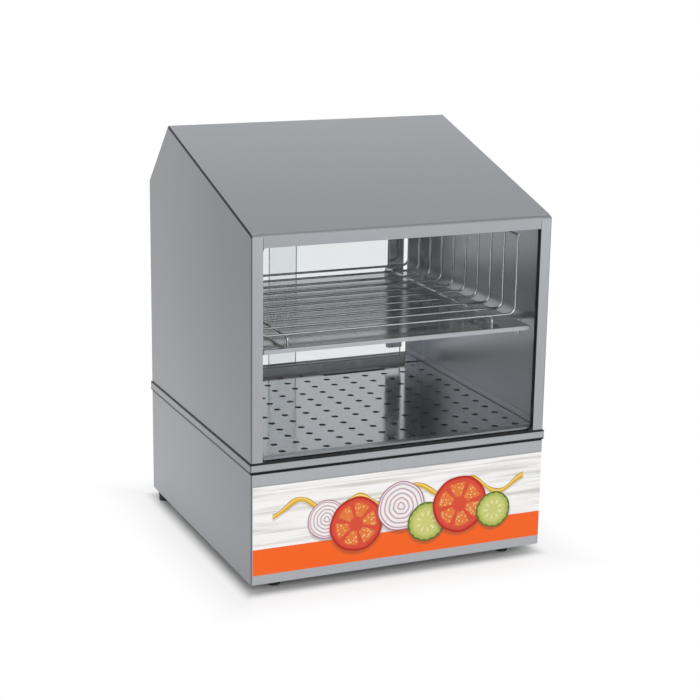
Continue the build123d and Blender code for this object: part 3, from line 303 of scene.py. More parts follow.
# finishes
MARKS_ACROSS = 2400.0  # brush marks per metre, square to the grain
MARKS_ALONG = 16.0  # brush marks per metre along the grain
BRUSH_DEPTH = 0.00003  # metres
CLOUDS = 7.0  # soft clouds per metre
WARMTH = (1.02, 1.01, 0.97)  # share of each colour in a cloud
INNER_BLUR = 0.004  # metres over which a face turns from outer to inner
DEPTH_SPAN = (0.22, -0.22)  # from the rear to the front, where painted shade darkens side faces
HEIGHT_SPAN = (0.05, 0.42)  # from the foot to the top, where painted shade darkens side faces


class Grain(Enum):
    """Way in which the brush marks of a sheet run, as the axis of the marks."""

    ACROSS = 0
    DEPTH = 1
    UPRIGHT = 2


@dataclass(frozen=True)
class Finish:
    """A finish that makes its material once.

    Attributes:
        name: name of the material.
        slot: material slot of the part that it belongs to; not used.
    """

    name: str
    slot: str

    def material(self) -> bpy.types.Material:
        """Makes the material at its first use, and finds it after that.

        Returns:
            The finish's material.
        """
        title = f"finish_{self.name}"
        known = bpy.data.materials.get(title)
        if known is not None:
            return known
        made = bpy.data.materials.new(title)
        tree = Tree(made)
        tree.surface(self.paint(tree))
        return made

    def paint(self, tree: Tree) -> Socket:
        """Builds the finish's nodes.

        Args:
            tree: the tree that gets the nodes.

        Returns:
            The shader's output.
        """
        raise NotImplementedError


@dataclass(frozen=True)
class Sheet(Finish):
    """Stainless sheet, brushed outside and smoother on its inner face.

    Attributes:
        grain: the way of the brush marks.
        colour: metal's colour at the middle of its range.
        rough: roughness of the brushed face.
        inner_rough: roughness of faces turned towards the middle of the cabinet.
        inner_tone: share of the colour that those faces keep under painted shade.
        contrast: share of the colour by which the marks vary.
        middle: height of the middle that inner faces are turned to, in metres.
        corner_shade: share of the colour lost to painted shade on upright bends.
        seam_shade: share of the colour lost to painted shade on lying bends and in the seam
            shadows.
        crest_shade: share of the colour lost to painted shade on folds across the width that look
            up.
        cut_shade: share of the colour lost to painted shade on faces that look to the sides.
        side_tone: share of the colour that side and top faces keep at the rear, under painted
            shade.
        front_tone: share that they keep at the front, under painted shade.
        high_tone: share of that tone that side faces keep at the top, under painted shade.
        face_tone: share of the colour that faces looking to the front or the back keep, under
            painted shade.
        seams: heights of painted shadow lines at the joints in outer faces, each with its reach, in
            metres.
        flats: ways that the flat faces look, each standing for its opposite too.
    """

    grain: Grain = Grain.UPRIGHT
    colour: Colour = (0.375, 0.389, 0.412)
    rough: float = 0.34
    inner_rough: float = 0.12
    inner_tone: float = 0.82
    contrast: float = 0.05
    middle: float = 0.30
    corner_shade: float = 0.4
    seam_shade: float = 0.85
    crest_shade: float = 0.85
    cut_shade: float = 0.0
    side_tone: float = 0.89
    front_tone: float = 0.67
    high_tone: float = 0.8
    face_tone: float = 1.0
    seams: tuple[Span, ...] = ()
    flats: tuple[Point, ...] = ((1.0, 0.0, 0.0), (0.0, 1.0, 0.0), (0.0, 0.0, 1.0))

    def paint(self, tree: Tree) -> Socket:
        """Marks along the grain, soft clouds, painted shade and seam shadows, and a smoother inner
        face.
        """
        place, normal = tree.place(), tree.normal()
        scale = [MARKS_ACROSS] * 3
        scale[self.grain.value] = MARKS_ALONG
        marks = place.vector("MULTIPLY", tuple(scale)).noise(1.0)
        clouds = place.noise(CLOUDS, 1.5)
        outward = place.vector("SUBTRACT", (0.0, 0.0, self.middle))
        turned = normal.vector("DOT_PRODUCT", outward, "Value")
        inner = turned.rise(INNER_BLUR, -INNER_BLUR)
        # painted shade: inner faces keep inner_tone of the colour
        kept = (1.0 - inner * (1.0 - self.inner_tone)) * (1.0 - self.shade(normal))
        # painted light and shade on outer faces, by facing and place
        kept = kept * (1.0 - (1.0 - inner) * (1.0 - self.sheen(place, normal)))
        # painted shadow lines at the seams
        if self.seams:
            kept = kept * (1.0 - (1.0 - inner) * self.joints(place, normal))
        rough = self.rough + (self.inner_rough - self.rough) * inner
        rough = rough + (marks - 0.5) * 0.06 + (clouds - 0.5) * 0.06
        normal = tree.bump(marks * (1.0 - inner), 0.06, BRUSH_DEPTH)
        dark, pale = (tuple(c * (1 + k * self.contrast) for c in self.colour) for k in (-1, 1))
        warm = tuple(c * k for c, k in zip(self.colour, WARMTH))
        metal = (clouds.rise(0.42, 0.62) * 0.5).mix(marks.rise(0.25, 0.75).mix(dark, pale), warm)
        colour = kept.mix((0.0, 0.0, 0.0), metal)
        return tree.shader(colour, rough, {"Metallic": 1.0, "Normal": normal})

    def sheen(self, place: Signal, normal: Signal) -> Signal:
        """Painted light and shade on outer faces, which darken to the front and the top.

        Args:
            place: point on the sheet.
            normal: the way that it faces.

        Returns:
            The share of the colour that is kept.
        """
        _, y, z = place.parts()
        x_turn, y_turn, _ = (abs(part) for part in normal.parts())
        lost = 1.0 - self.side_tone + y.rise(*DEPTH_SPAN) * (self.side_tone - self.front_tone)
        high = z.rise(*HEIGHT_SPAN) * x_turn.rise(0.7, 0.9)
        face = 1.0 - y_turn.rise(0.9, 0.98) * (1.0 - self.face_tone)
        sides = 1.0 - high * (1.0 - self.high_tone)
        return (1.0 - lost * y_turn.rise(0.9, 0.8)) * sides * face

    def joints(self, place: Signal, normal: Signal) -> Signal:
        """Painted shadow lines at the seams, on upright faces only.

        Args:
            place: point on the sheet.
            normal: the way that it faces.

        Returns:
            The share of the colour that is lost.
        """
        up = place.parts()[2]
        near = 0.0
        for height, reach in self.seams:
            near = abs(up - height).rise(reach, reach * 0.55).most(near)
        return near * abs(normal.parts()[2]).rise(0.6, 0.3) * self.seam_shade

    def shade(self, normal: Signal) -> Signal:
        """Painted shade on bends and on cut edges.

        Args:
            normal: the way that the sheet faces.

        Returns:
            The share of the colour that is lost.
        """
        flat = 0.0
        for way in self.flats:
            flat = abs(normal.vector("DOT_PRODUCT", way, "Value")).most(flat)
        x, _, z = normal.parts()
        lying = self.corner_shade + abs(z).rise(0.12, 0.3) * (self.seam_shade - self.corner_shade)
        crest = z.rise(0.12, 0.3) * abs(x).rise(0.3, 0.1)
        depth = lying + crest * (self.crest_shade - lying)
        # painted shade on bends and on cut edges
        return (flat.rise(0.996, 0.95) * depth).most(abs(x).rise(0.9, 0.99) * self.cut_shade)


@dataclass(frozen=True)
class Metal(Finish):
    """Plain turned, drawn or plated metal with faint spots.

    Attributes:
        colour: metal's colour.
        rough: mean roughness.
        spots: size of the spots' pattern, per metre.
    """

    colour: Colour = (0.5, 0.5, 0.5)
    rough: float = 0.25
    spots: float = 260.0

    def paint(self, tree: Tree) -> Socket:
        """Spots in the colour and the gloss."""
        spots = tree.place().noise(self.spots, 3.0)
        dull = tuple(c * 0.82 for c in self.colour)
        rough = self.rough + (spots - 0.5) * 0.16
        others = {"Metallic": 1.0, "Normal": tree.bump(spots, 0.06, 0.0001)}
        return tree.shader(spots.rise(0.3, 0.7).mix(dull, self.colour), rough, others)


@dataclass(frozen=True)
class Moulding(Finish):
    """Moulded plastic or rubber with a fine texture.

    Attributes:
        colour: the material's colour.
        rough: mean roughness.
        pits: pitch of the texture, per metre.
        depth: depth of the texture in metres.
        coat: gloss of the skin.
    """

    colour: Colour = (0.02, 0.02, 0.02)
    rough: float = 0.5
    pits: float = 1500.0
    depth: float = 0.00006
    coat: float = 0.0

    def paint(self, tree: Tree) -> Socket:
        """Fine pits with a slow change of gloss."""
        place = tree.place()
        pits = place.noise(self.pits)
        wear = place.noise(60.0, 3.0)
        worn = tuple(min(1.0, c * 1.25 + 0.006) for c in self.colour)
        rough = self.rough + (wear - 0.5) * 0.2
        others = {"Coat Weight": self.coat, "Normal": tree.bump(pits, 0.25, self.depth)}
        return tree.shader(wear.rise(0.45, 0.75).mix(self.colour, worn), rough, others)


@dataclass(frozen=True)
class Pane(Finish):
    """Clear glass whose broad faces look along Y, with greener edges.

    Attributes:
        tint: share of each colour that one face lets through.
        gloss: share of the light that the mirror on it keeps.
        mirror: share of the light that a face seen squarely mirrors.
        edge: colour of the ground edges.
    """

    tint: Colour = (0.944, 0.953, 0.957)
    gloss: float = 0.7
    mirror: float = 0.018
    edge: Colour = (0.16, 0.30, 0.27)

    def paint(self, tree: Tree) -> Socket:
        """A clear film with a mirror on it by the angle, and solid edges."""
        slant = Signal(tree, tree.node("ShaderNodeLayerWeight").outputs["Facing"])
        mirrored = self.mirror + slant**5.0 * (1.0 - self.mirror)
        clear = tree.node("ShaderNodeBsdfTransparent", inputs={"Color": self.tint}).outputs[0]
        inputs = {"Color": (self.gloss,) * 3, "Roughness": 0.02}
        gloss = tree.node("ShaderNodeBsdfGlossy", inputs=inputs).outputs[0]
        film = tree.blend(mirrored, clear, gloss)
        ground = tree.place().noise(900.0)
        green = ground.mix(self.edge, tuple(c * 1.4 for c in self.edge))
        rim = tree.shader(green, 0.22, {"Coat Weight": 0.6})
        facing = abs(tree.normal().parts()[1])
        return tree.blend(facing.rise(0.6, 0.4), film, rim)


@dataclass(frozen=True)
class Lens(Finish):
    """Moulded clear lens with fine ribs.

    Attributes:
        colour: colour of the plastic.
        ribs: ribs per metre.
    """

    colour: Colour = (0.78, 0.22, 0.02)
    ribs: float = 9000.0

    def paint(self, tree: Tree) -> Socket:
        """Ribs across the lens under a gloss coat."""
        x, _, z = tree.place().parts()
        ribs = (x * self.ribs).sine() * (z * self.ribs).sine() * 0.5 + 0.5
        colour = ribs.mix(tuple(c * 0.6 for c in self.colour), self.colour)
        others = {"Coat Weight": 1.0, "Normal": tree.bump(ribs, 0.3, 0.0002)}
        return tree.shader(colour, 0.12 + ribs * 0.08, others)


class Slice(Enum):
    """Kinds of slices in the printed design."""

    TOMATO = "tomato"
    ONION = "onion"
    PICKLE = "pickle"


@dataclass(frozen=True)
class Spot:
    """One slice in the printed design, in millimetres.

    Attributes:
        kind: what is sliced.
        x: place across the panel, from its middle.
        z: height above the panel's lower edge.
        radius: outer radius.
        turn: angle by which the slice is turned, in radians.
    """

    kind: Slice
    x: float
    z: float
    radius: float
    turn: float = 0.0


@dataclass(frozen=True)
class Print(Finish):
    """Printed front panel: planks, a band along the foot, sauce and slices.

    Attributes:
        foot: height of the panel's lower edge, in metres.
        band: height of the band in millimetres.
        band_colour: colour of the band.
        plank: height of a plank in millimetres.
        edge: colour of the panel's cut edges.
        sauce: colour of the line of sauce.
        spots: the slices from the back one to the front one.
    """

    foot: float = 0.024
    band: float = 32.0
    band_colour: Colour = (0.96, 0.133, 0.010)
    plank: float = 25.5
    edge: Colour = (0.66, 0.67, 0.68)
    sauce: Colour = (0.84, 0.50, 0.020)
    spots: tuple[Spot, ...] = (
        Spot(Slice.ONION, -96.0, 58.0, 24.0),
        Spot(Slice.TOMATO, -58.0, 47.0, 34.0, 0.3),
        Spot(Slice.ONION, 0.0, 62.0, 31.0),
        Spot(Slice.PICKLE, 34.0, 38.0, 25.0, 0.2),
        Spot(Slice.TOMATO, 78.0, 55.0, 36.0, 0.9),
        Spot(Slice.PICKLE, 124.0, 42.0, 23.0, 0.5),
    )

    def paint(self, tree: Tree) -> Socket:
        """Planks first, then the band, the sauce and the slices over them."""
        place = tree.place()
        x, _, z = (axis * 1000.0 for axis in place.parts())
        z = z - self.foot * 1000.0
        ink = self.planks(place, z)
        ink = z.rise(self.band + 0.2, self.band - 0.2).mix(ink, self.band_colour)
        ink = self.ribbon(ink, x, z)
        for spot in self.spots:
            ink = self.slice(ink, x, z, spot)
        facing = abs(tree.normal().parts()[1])
        rough = 0.16 + place.noise(35.0) * 0.10
        colour = facing.rise(0.6, 0.4).mix(ink, self.edge)
        return tree.shader(colour, rough, {"Specular IOR Level": 0.25})

    def planks(self, place: Signal, z: Signal) -> Signal:
        """Whitewashed boards with grey grain along X.

        Args:
            place: point on the panel.
            z: height above the panel's lower edge in millimetres.

        Returns:
            The boards' colour.
        """
        coarse = place.vector("MULTIPLY", (7.0, 1.0, 150.0)).noise(1.0, 4.0)
        fine = place.vector("MULTIPLY", (22.0, 1.0, 900.0)).noise(1.0, 3.0)
        wood = coarse.rise(0.46, 0.72).mix((0.96, 0.957, 0.95), (0.66, 0.64, 0.61))
        wood = (fine.rise(0.5, 0.8) * 0.45).mix(wood, (0.62, 0.59, 0.56))
        joint = abs((z / self.plank).fraction() - 0.5).rise(0.486, 0.497)
        return (joint * coarse.rise(0.3, 0.5) * 0.8).mix(wood, (0.36, 0.34, 0.32))

    def ribbon(self, ink: Signal, x: Signal, z: Signal) -> Signal:
        """A wavy line of sauce with a soft shade below it.

        Args:
            ink: colour so far.
            x: place across the panel in millimetres.
            z: height above its lower edge in millimetres.

        Returns:
            The colour with the sauce on it.
        """
        line = z - 76.0 - (x * 0.085).sine() * 9.0 - (x * 0.031).sine() * 3.0
        width = 3.4 + (x * 0.21).sine() * 0.7
        off = abs(line) / width
        ends = abs(x).rise(165.0, 163.0)
        below = (abs(line + 2.2) / width).rise(1.5, 0.8) * ends
        ink = (below * 0.35).mix(ink, (0.30, 0.2, 0.1))
        deep = tuple(c * 0.62 for c in self.sauce)
        body = off.rise(0.35, 1.0).mix(self.sauce, deep)
        body = ((abs(line - 1.0) / width).rise(0.28, 0.05) * 0.7).mix(body, (0.97, 0.86, 0.5))
        return (off.rise(1.04, 0.96) * ends).mix(ink, body)

    def slice(self, ink: Signal, x: Signal, z: Signal, spot: Spot) -> Signal:
        """One slice with its shade over the ink given.

        Args:
            ink: colour so far.
            x: place across the panel in millimetres.
            z: height above its lower edge in millimetres.
            spot: the slice's kind, place and size.

        Returns:
            The colour with the slice on it.
        """
        dx = x - spot.x
        dz = z - spot.z
        radius = (dx * dx + dz * dz) ** 0.5
        angle = ink.tree.maths("ARCTAN2", dz, dx) + spot.turn
        wobble = (angle * 3.0).sine() * 0.012 + (angle * 7.0 + spot.x).sine() * 0.008
        r = radius / spot.radius + wobble
        low = dz + 2.6
        shade = ((dx * dx + low * low) ** 0.5) / spot.radius
        ink = (shade.rise(1.12, 0.94) * 0.45).mix(ink, (0.10, 0.06, 0.04))
        return r.rise(1.01, 0.985).mix(ink, self.cut(spot.kind, r, angle, {"X": dx, "Y": dz}))

    @staticmethod
    def cut(kind: Slice, r: Signal, angle: Signal, place: Fields) -> Signal:
        """Cut face of a slice.

        Args:
            kind: what is sliced.
            r: distance from the slice's middle, 1 at its edge.
            angle: way round the slice in radians.
            place: the same point across and up, in millimetres.

        Returns:
            The face's colour.
        """
        if kind is Slice.TOMATO:
            tree = r.tree
            flesh = r.rise(0.86, 0.97).mix((0.72, 0.075, 0.035), (0.46, 0.012, 0.008))
            spokes = abs((angle * 3.0).sine())
            pocket = spokes.rise(0.30, 0.5) * r.rise(0.24, 0.32) * r.rise(0.80, 0.72)
            grid = tree.node("ShaderNodeCombineXYZ", inputs=place).outputs[0]
            cells = tree.node("ShaderNodeTexVoronoi", inputs={"Vector": grid, "Scale": 0.30})
            seeds = Signal(tree, cells.outputs["Distance"]).rise(0.36, 0.24)
            return pocket.mix(flesh, seeds.mix((0.80, 0.20, 0.04), (0.88, 0.62, 0.26)))
        if kind is Slice.ONION:
            rings = ((r + (angle * 2.0).sine() * 0.012) * 34.0).sine() * 0.5 + 0.5
            body = rings.rise(0.15, 0.9).mix((0.76, 0.68, 0.72), (0.93, 0.91, 0.88))
            body = rings.rise(0.12, 0.0).mix(body, (0.46, 0.22, 0.36))
            return r.rise(0.93, 0.98).mix(body, (0.36, 0.08, 0.20))
        crinkle = r + (angle * 16.0).sine() * 0.018
        flesh = crinkle.rise(0.62, 0.86).mix((0.62, 0.64, 0.20), (0.42, 0.50, 0.10))
        seeds = (angle * 9.0).sine().rise(0.35, 0.8) * abs(r - 0.42).rise(0.14, 0.07)
        flesh = seeds.mix(flesh, (0.82, 0.80, 0.42))
        return crinkle.rise(0.88, 0.93).mix(flesh, (0.10, 0.16, 0.015))


# painted shade: sides darker to the front, and a painted shadow line at the joint with the pan's
# rim
BASE_STEEL = Sheet(
    "sheet_base", "outer_steel", colour=(0.412, 0.427, 0.452), side_tone=0.81, front_tone=0.61,
    seam_shade=0.93, seams=((0.148, 0.0020),)
)
HOOD_STEEL = Sheet(
    "sheet_hood", "outer_steel", inner_rough=0.32, inner_tone=1.0, crest_shade=0.1, face_tone=0.97
)
# painted shade on the roof's cut edges and on its header
ROOF_STEEL = Sheet(
    "sheet_roof", "outer_steel", Grain.DEPTH, seam_shade=0.2, crest_shade=0.2, cut_shade=0.8,
    face_tone=0.86,
    flats=((0.0, 1.0, 0.0), (0.0, 0.0, 1.0), (0.0, -0.2722, 0.9623), (0.0, 0.7071, 0.7071))
)
REAR_STEEL = Sheet(
    "sheet_rear", "outer_steel", Grain.ACROSS, inner_rough=0.34, inner_tone=0.95,
    corner_shade=0.15, seam_shade=0.15, crest_shade=0.15
)
# inner faces painted dark as shade inside the pan, with painted shadow lines under and over the rim
PAN_STEEL = Sheet(
    "sheet_pan", "outer_steel", Grain.ACROSS, middle=0.13, inner_rough=0.3, inner_tone=0.45,
    seam_shade=0.95, seams=((0.148, 0.0034), (0.160, 0.0022))
)
INNER_ACROSS, INNER_UPRIGHT = (
    Sheet(
        f"sheet_inner_{grain.name.lower()}", "inner_steel", grain, rough=0.2, inner_tone=0.9,
        seam_shade=0.3, crest_shade=0.3
    )
    for grain in (Grain.ACROSS, Grain.UPRIGHT)
)
# lighter copy of the steel: painted light on the shelf's front lip; inner_tone brings its top back
# down
SHELF_STEEL = Sheet(
    "sheet_shelf", "inner_steel", Grain.ACROSS, colour=(0.52, 0.535, 0.555), rough=0.5,
    inner_rough=0.16, inner_tone=0.70, corner_shade=0.1, seam_shade=0.0, crest_shade=0.0
)
# lighter copy of the steel: painted light on the sill's front face, which sits in shade behind the
# glass
SILL_STEEL = Sheet(
    "sheet_sill", "inner_steel", Grain.ACROSS, colour=(0.58, 0.60, 0.63), rough=0.6,
    inner_rough=0.3, inner_tone=0.7, seam_shade=0.1, crest_shade=0.1
)
FASTENER = Metal("fastener_steel", "screw_steel", (0.42, 0.42, 0.41), 0.28)
PLATED_WIRE = Metal("plated_wire", "rack_wire", (0.57, 0.57, 0.565), 0.16)
SHEATH = Metal("element_sheath", "element_sheath", (0.17, 0.16, 0.15), 0.42)
BRASS = Metal("turned_brass", "brass_fitting", (0.62, 0.44, 0.18), 0.26)
GLASS = Pane("clear_glass", "clear_glass")
BLACK_RUBBER = Moulding("black_rubber", "rubber", (0.012, 0.012, 0.013), 0.62)
BLACK_PLASTIC = Moulding("black_plastic", "black_plastic", (0.016, 0.016, 0.017))
RED_PLASTIC = Moulding("red_plastic", "red_plastic", (0.50, 0.022, 0.016), 0.3, coat=0.4)
WHITE_NYLON = Moulding("white_nylon", "white_plastic", (0.70, 0.70, 0.66), 0.45)
WHITE_INK = Moulding("white_ink", "white_plastic", (0.80, 0.80, 0.78), 0.5)
BLACK_INK = Moulding("black_ink", "black_plastic", (0.014, 0.014, 0.015), 0.5)
GREY_TRACK = Moulding("grey_track", "track_plastic", (0.50, 0.52, 0.54), 0.42)
DARK_TRACK = Moulding("dark_track", "track_plastic", (0.105, 0.11, 0.12), 0.42)
AMBER = Lens("amber_lens", "amber_lens")


Looks = tuple[tuple[Finish, str], ...]


# mesh tools
def dress(node: str, finish: Finish) -> None:
    """Gives a carried-over node its finish.

    Args:
        node: the node's name.
        finish: the finish.
    """
    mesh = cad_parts[node].data
    mesh.materials.clear()
    mesh.materials.append(finish.material())


def linked(name: str, data: bpy.types.ID) -> bpy.types.Object:
    """Adds an object to the scene.

    Args:
        name: the object's name.
        data: its mesh, light, camera or curve.

    Returns:
        The object.
    """
    made = bpy.data.objects.new(name, data)
    bpy.context.scene.collection.objects.link(made)
    return made


def piece(
    name: str, mesh: Mesh, finish: Finish, body: str, smooth: bool = False
) -> bpy.types.Object:
    """Turns a bmesh into a piece that rides on a body.

    Args:
        name: the piece's name.
        mesh: its geometry in the row frame, freed afterwards.
        finish: its finish, whose material the piece gets.
        body: the body that it moves with.
        smooth: whether all its faces are shaded smooth.

    Returns:
        The new object.
    """
    bmesh.ops.recalc_face_normals(mesh, faces=mesh.faces[:])
    data = bpy.data.meshes.new(name)
    mesh.to_mesh(data)
    mesh.free()
    data.materials.append(finish.material())
    if smooth:
        for face in data.polygons:
            face.use_smooth = True
    made = linked(name, data)
    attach(made, body)
    log.info("%s: %d faces", made.name, len(data.polygons))
    return made


def islands(node: str) -> list[tuple[Vector, Vector]]:
    """Finds the separate solids of a node.

    Args:
        node: the node's name.

    Returns:
        Lowest and highest corner of each solid, in metres.
    """
    mesh = bmesh.new()
    mesh.from_mesh(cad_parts[node].data)
    bmesh.ops.remove_doubles(mesh, verts=mesh.verts[:], dist=MM / 100)
    found = []
    left = set(mesh.verts)
    while left:
        queue = [left.pop()]
        group = []
        while queue:
            vert = queue.pop()
            group.append(vert.co.copy())
            near = {edge.other_vert(vert) for edge in vert.link_edges} & left
            left -= near
            queue.extend(near)
        low = Vector(min(p[axis] for p in group) for axis in range(3))
        high = Vector(max(p[axis] for p in group) for axis in range(3))
        found.append((low, high))
    mesh.free()
    return found


def turned_to(origin: Point, outward: Point, upward: Point) -> Matrix:
    """Lays a flat form on a face.

    Args:
        origin: where the form's own origin goes.
        outward: the way that its own +Z turns.
        upward: the way that its own +Y turns.

    Returns:
        The matrix from the form to the face.
    """
    normal = Vector(outward).normalized()
    up = Vector(upward).normalized()
    right = up.cross(normal)
    turn = Matrix((right, up, normal)).transposed().to_4x4()
    return Matrix.Translation(Vector(origin)) @ turn


def extruded(
    mesh: Mesh, faces: list[bmesh.types.BMFace], height: float
) -> list[bmesh.types.BMVert]:
    """Extrudes faces along Z.

    Args:
        mesh: the mesh that they are in.
        faces: the faces.
        height: how far they go up.

    Returns:
        The vertices of the moved faces.
    """
    made = bmesh.ops.extrude_face_region(mesh, geom=faces)
    verts = [item for item in made["geom"] if isinstance(item, bmesh.types.BMVert)]
    bmesh.ops.translate(mesh, verts=verts, vec=(0, 0, height))
    return verts


def add_bar(mesh: Mesh, place: Matrix, middle: float, size: Span, height: float) -> None:
    """Adds a thin bar of ink with rounded corners.

    Args:
        mesh: the mesh that gets it.
        place: matrix from the flat form to the face.
        middle: place of its middle along the face's own Y.
        size: width and length.
        height: height above the face.
    """
    verts = bmesh.ops.create_grid(mesh, x_segments=1, y_segments=1, size=0.5)["verts"]
    bmesh.ops.scale(mesh, verts=verts, vec=(*size, 1))
    corners = bmesh.ops.bevel(
        mesh, geom=verts, affect="VERTICES", offset=min(size) * 0.3, offset_type="OFFSET",
        segments=3, profile=0.5, material=-1
    )
    flat = list({face for vert in corners["verts"] for face in vert.link_faces})
    top = extruded(mesh, flat, height)
    base = [vert for face in flat for vert in face.verts]
    shift = Matrix.Translation((0, middle, 0))
    bmesh.ops.transform(mesh, matrix=place @ shift, verts=list(set(base + top)))


def add_text(mesh: Mesh, words: str, place: Matrix, size: Span) -> None:
    """Adds upright printed figures.

    Args:
        mesh: the mesh that gets them.
        words: what they say.
        place: matrix from the flat form to the face, with their middle on its origin.
        size: height of the figures and thickness of the ink.
    """
    height, thickness = size
    curve = bpy.data.curves.new("figures", "FONT")
    curve.body = words
    curve.size = height * 1.4
    curve.align_x = "CENTER"
    curve.align_y = "CENTER"
    curve.extrude = thickness / 2
    curve.resolution_u = 3
    holder = linked("figures", curve)
    bpy.context.view_layer.update()
    data = bpy.data.meshes.new_from_object(holder)
    data.transform(place @ Matrix.Translation((0, 0, thickness / 2)))
    mesh.from_mesh(data)
    bpy.data.objects.remove(holder)
    bpy.data.curves.remove(curve)
    bpy.data.meshes.remove(data)


# sub-assemblies
@dataclass
class Assembly:
    """Sub-assembly whose nodes keep the shapes of their solids.

    Attributes:
        looks: finishes, each with the names of the nodes that get it.
    """

    looks: Looks = ()

    def build(self) -> None:
        """Gives each node its finish."""
        for finish, nodes in self.looks:
            for node in nodes.split():
                dress(node, finish)
        log.info("%s: %d looks", type(self).__name__, len(self.looks))


@dataclass
class Fasteners:
    """Pan-head screws with a cross recess in place of a node of plain ones.

    Attributes:
        node: the node of plain screws.
        outward: the way that the heads face.
        upward: any way square to it.
        head_r: radius of the head.
        head_h: height of the head.
        shank_r: radius of the thread.
        patch: side of the flat patch that holds the recess.
        recess_depth: depth of the recess.
        cells: cells across the patch.
        rings: outline of the head from the patch down, as shares of its radius and height.
    """

    node: str
    outward: Point
    upward: Point
    head_r: float = 3.4 * MM
    head_h: float = 1.4 * MM
    shank_r: float = 2.0 * MM
    patch: float = 2.1 * MM
    recess_depth: float = 0.9 * MM
    cells: int = 7
    rings: tuple[Span, ...] = ((0.62, 1.0), (0.88, 0.80), (1.0, 0.42), (1.0, 0.0))

    def build(self) -> None:
        """Builds one head and shank for each screw of the node."""
        mesh = bmesh.new()
        axis = Vector(self.outward)
        for low, high in islands(self.node):
            middle = (low + high) / 2
            reach = abs((high - low).dot(axis)) / 2
            seat = middle + axis * (reach - self.head_h)
            self.add_screw(mesh, turned_to(tuple(seat), self.outward, self.upward), 2 * reach)
        made = piece(self.node + "_cross_recessed", mesh, FASTENER, "base", True)
        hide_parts(self.node)
        made.data.set_sharp_from_angle(angle=math.radians(35))

    def add_screw(self, mesh: Mesh, place: Matrix, length: float) -> None:
        """Adds one screw.

        Args:
            mesh: the mesh that gets it.
            place: matrix that lays the seat of its head on its place.
            length: length of the head and the shank.
        """
        verts = bmesh.ops.create_grid(
            mesh, x_segments=self.cells, y_segments=self.cells, size=self.patch / 2
        )["verts"]
        faces = {face for vert in verts for face in vert.link_faces}
        cell = self.patch / self.cells
        reach = cell * (self.cells // 2 - 0.5)
        arms = [face for face in faces if self.in_cross(face.calc_center_median(), cell / 2, reach)]
        rim = [edge for face in faces for edge in face.edges if edge.is_boundary]
        floor = extruded(mesh, arms, -self.recess_depth)
        bmesh.ops.delete(mesh, geom=arms, context="FACES_ONLY")
        shape = list(verts) + floor
        bmesh.ops.translate(mesh, verts=shape, vec=(0, 0, self.head_h))
        turn = Matrix.Rotation(math.pi / 4, 3, "Z")
        for share, height in self.rings:
            ring = bmesh.ops.create_circle(
                mesh, cap_ends=False, radius=self.head_r * share, segments=4 * self.cells
            )["verts"]
            bmesh.ops.translate(mesh, verts=ring, vec=(0, 0, self.head_h * height))
            bmesh.ops.rotate(mesh, verts=ring, matrix=turn)
            edges = list({edge for vert in ring for edge in vert.link_edges})
            bmesh.ops.bridge_loops(mesh, edges=list(set(rim)) + edges)
            rim = edges
            shape += ring
        bmesh.ops.contextual_create(mesh, geom=rim)
        shank = bmesh.ops.create_cone(
            mesh, cap_ends=True, segments=16, radius1=self.shank_r, radius2=self.shank_r,
            depth=length - self.head_h
        )["verts"]
        bmesh.ops.translate(mesh, verts=shank, vec=(0, 0, (self.head_h - length) / 2))
        bmesh.ops.transform(mesh, matrix=place, verts=shape + shank)

    @staticmethod
    def in_cross(centre: Vector, half_width: float, reach: float) -> bool:
        """True for a cell of the cross-shaped recess."""
        narrow, wide = sorted((abs(centre.x), abs(centre.y)))
        return narrow < half_width and wide < reach


@dataclass
class Base(Assembly):
    """Base skin with its cover, feet, printed panel and water bath."""

    looks: Looks = (
        (BASE_STEEL, "base_shell"),
        (PAN_STEEL, "water_pan"),
        (INNER_ACROSS, "bottom_cover element_clips perforated_tray"),
        (BLACK_RUBBER, "foot_front_left foot_front_right foot_rear_left foot_rear_right"),
        (BLACK_RUBBER, "bushing_gaskets"),
        (FASTENER, "foot_screws foot_nuts bottom_cover_screws locating_pins element_terminals"),
        (SHEATH, "heating_element"),
        (BRASS, "element_bushings bushing_nuts"),
    )

    def build(self) -> None:
        """Dresses the nodes and adds the screws of the cover."""
        super().build()
        low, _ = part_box("graphic_panel")
        dress("graphic_panel", Print("printed_panel", "printed_panel", foot=low.z))
        Fasteners("bottom_cover_screws", (0, 0, -1), (0, 1, 0)).build()


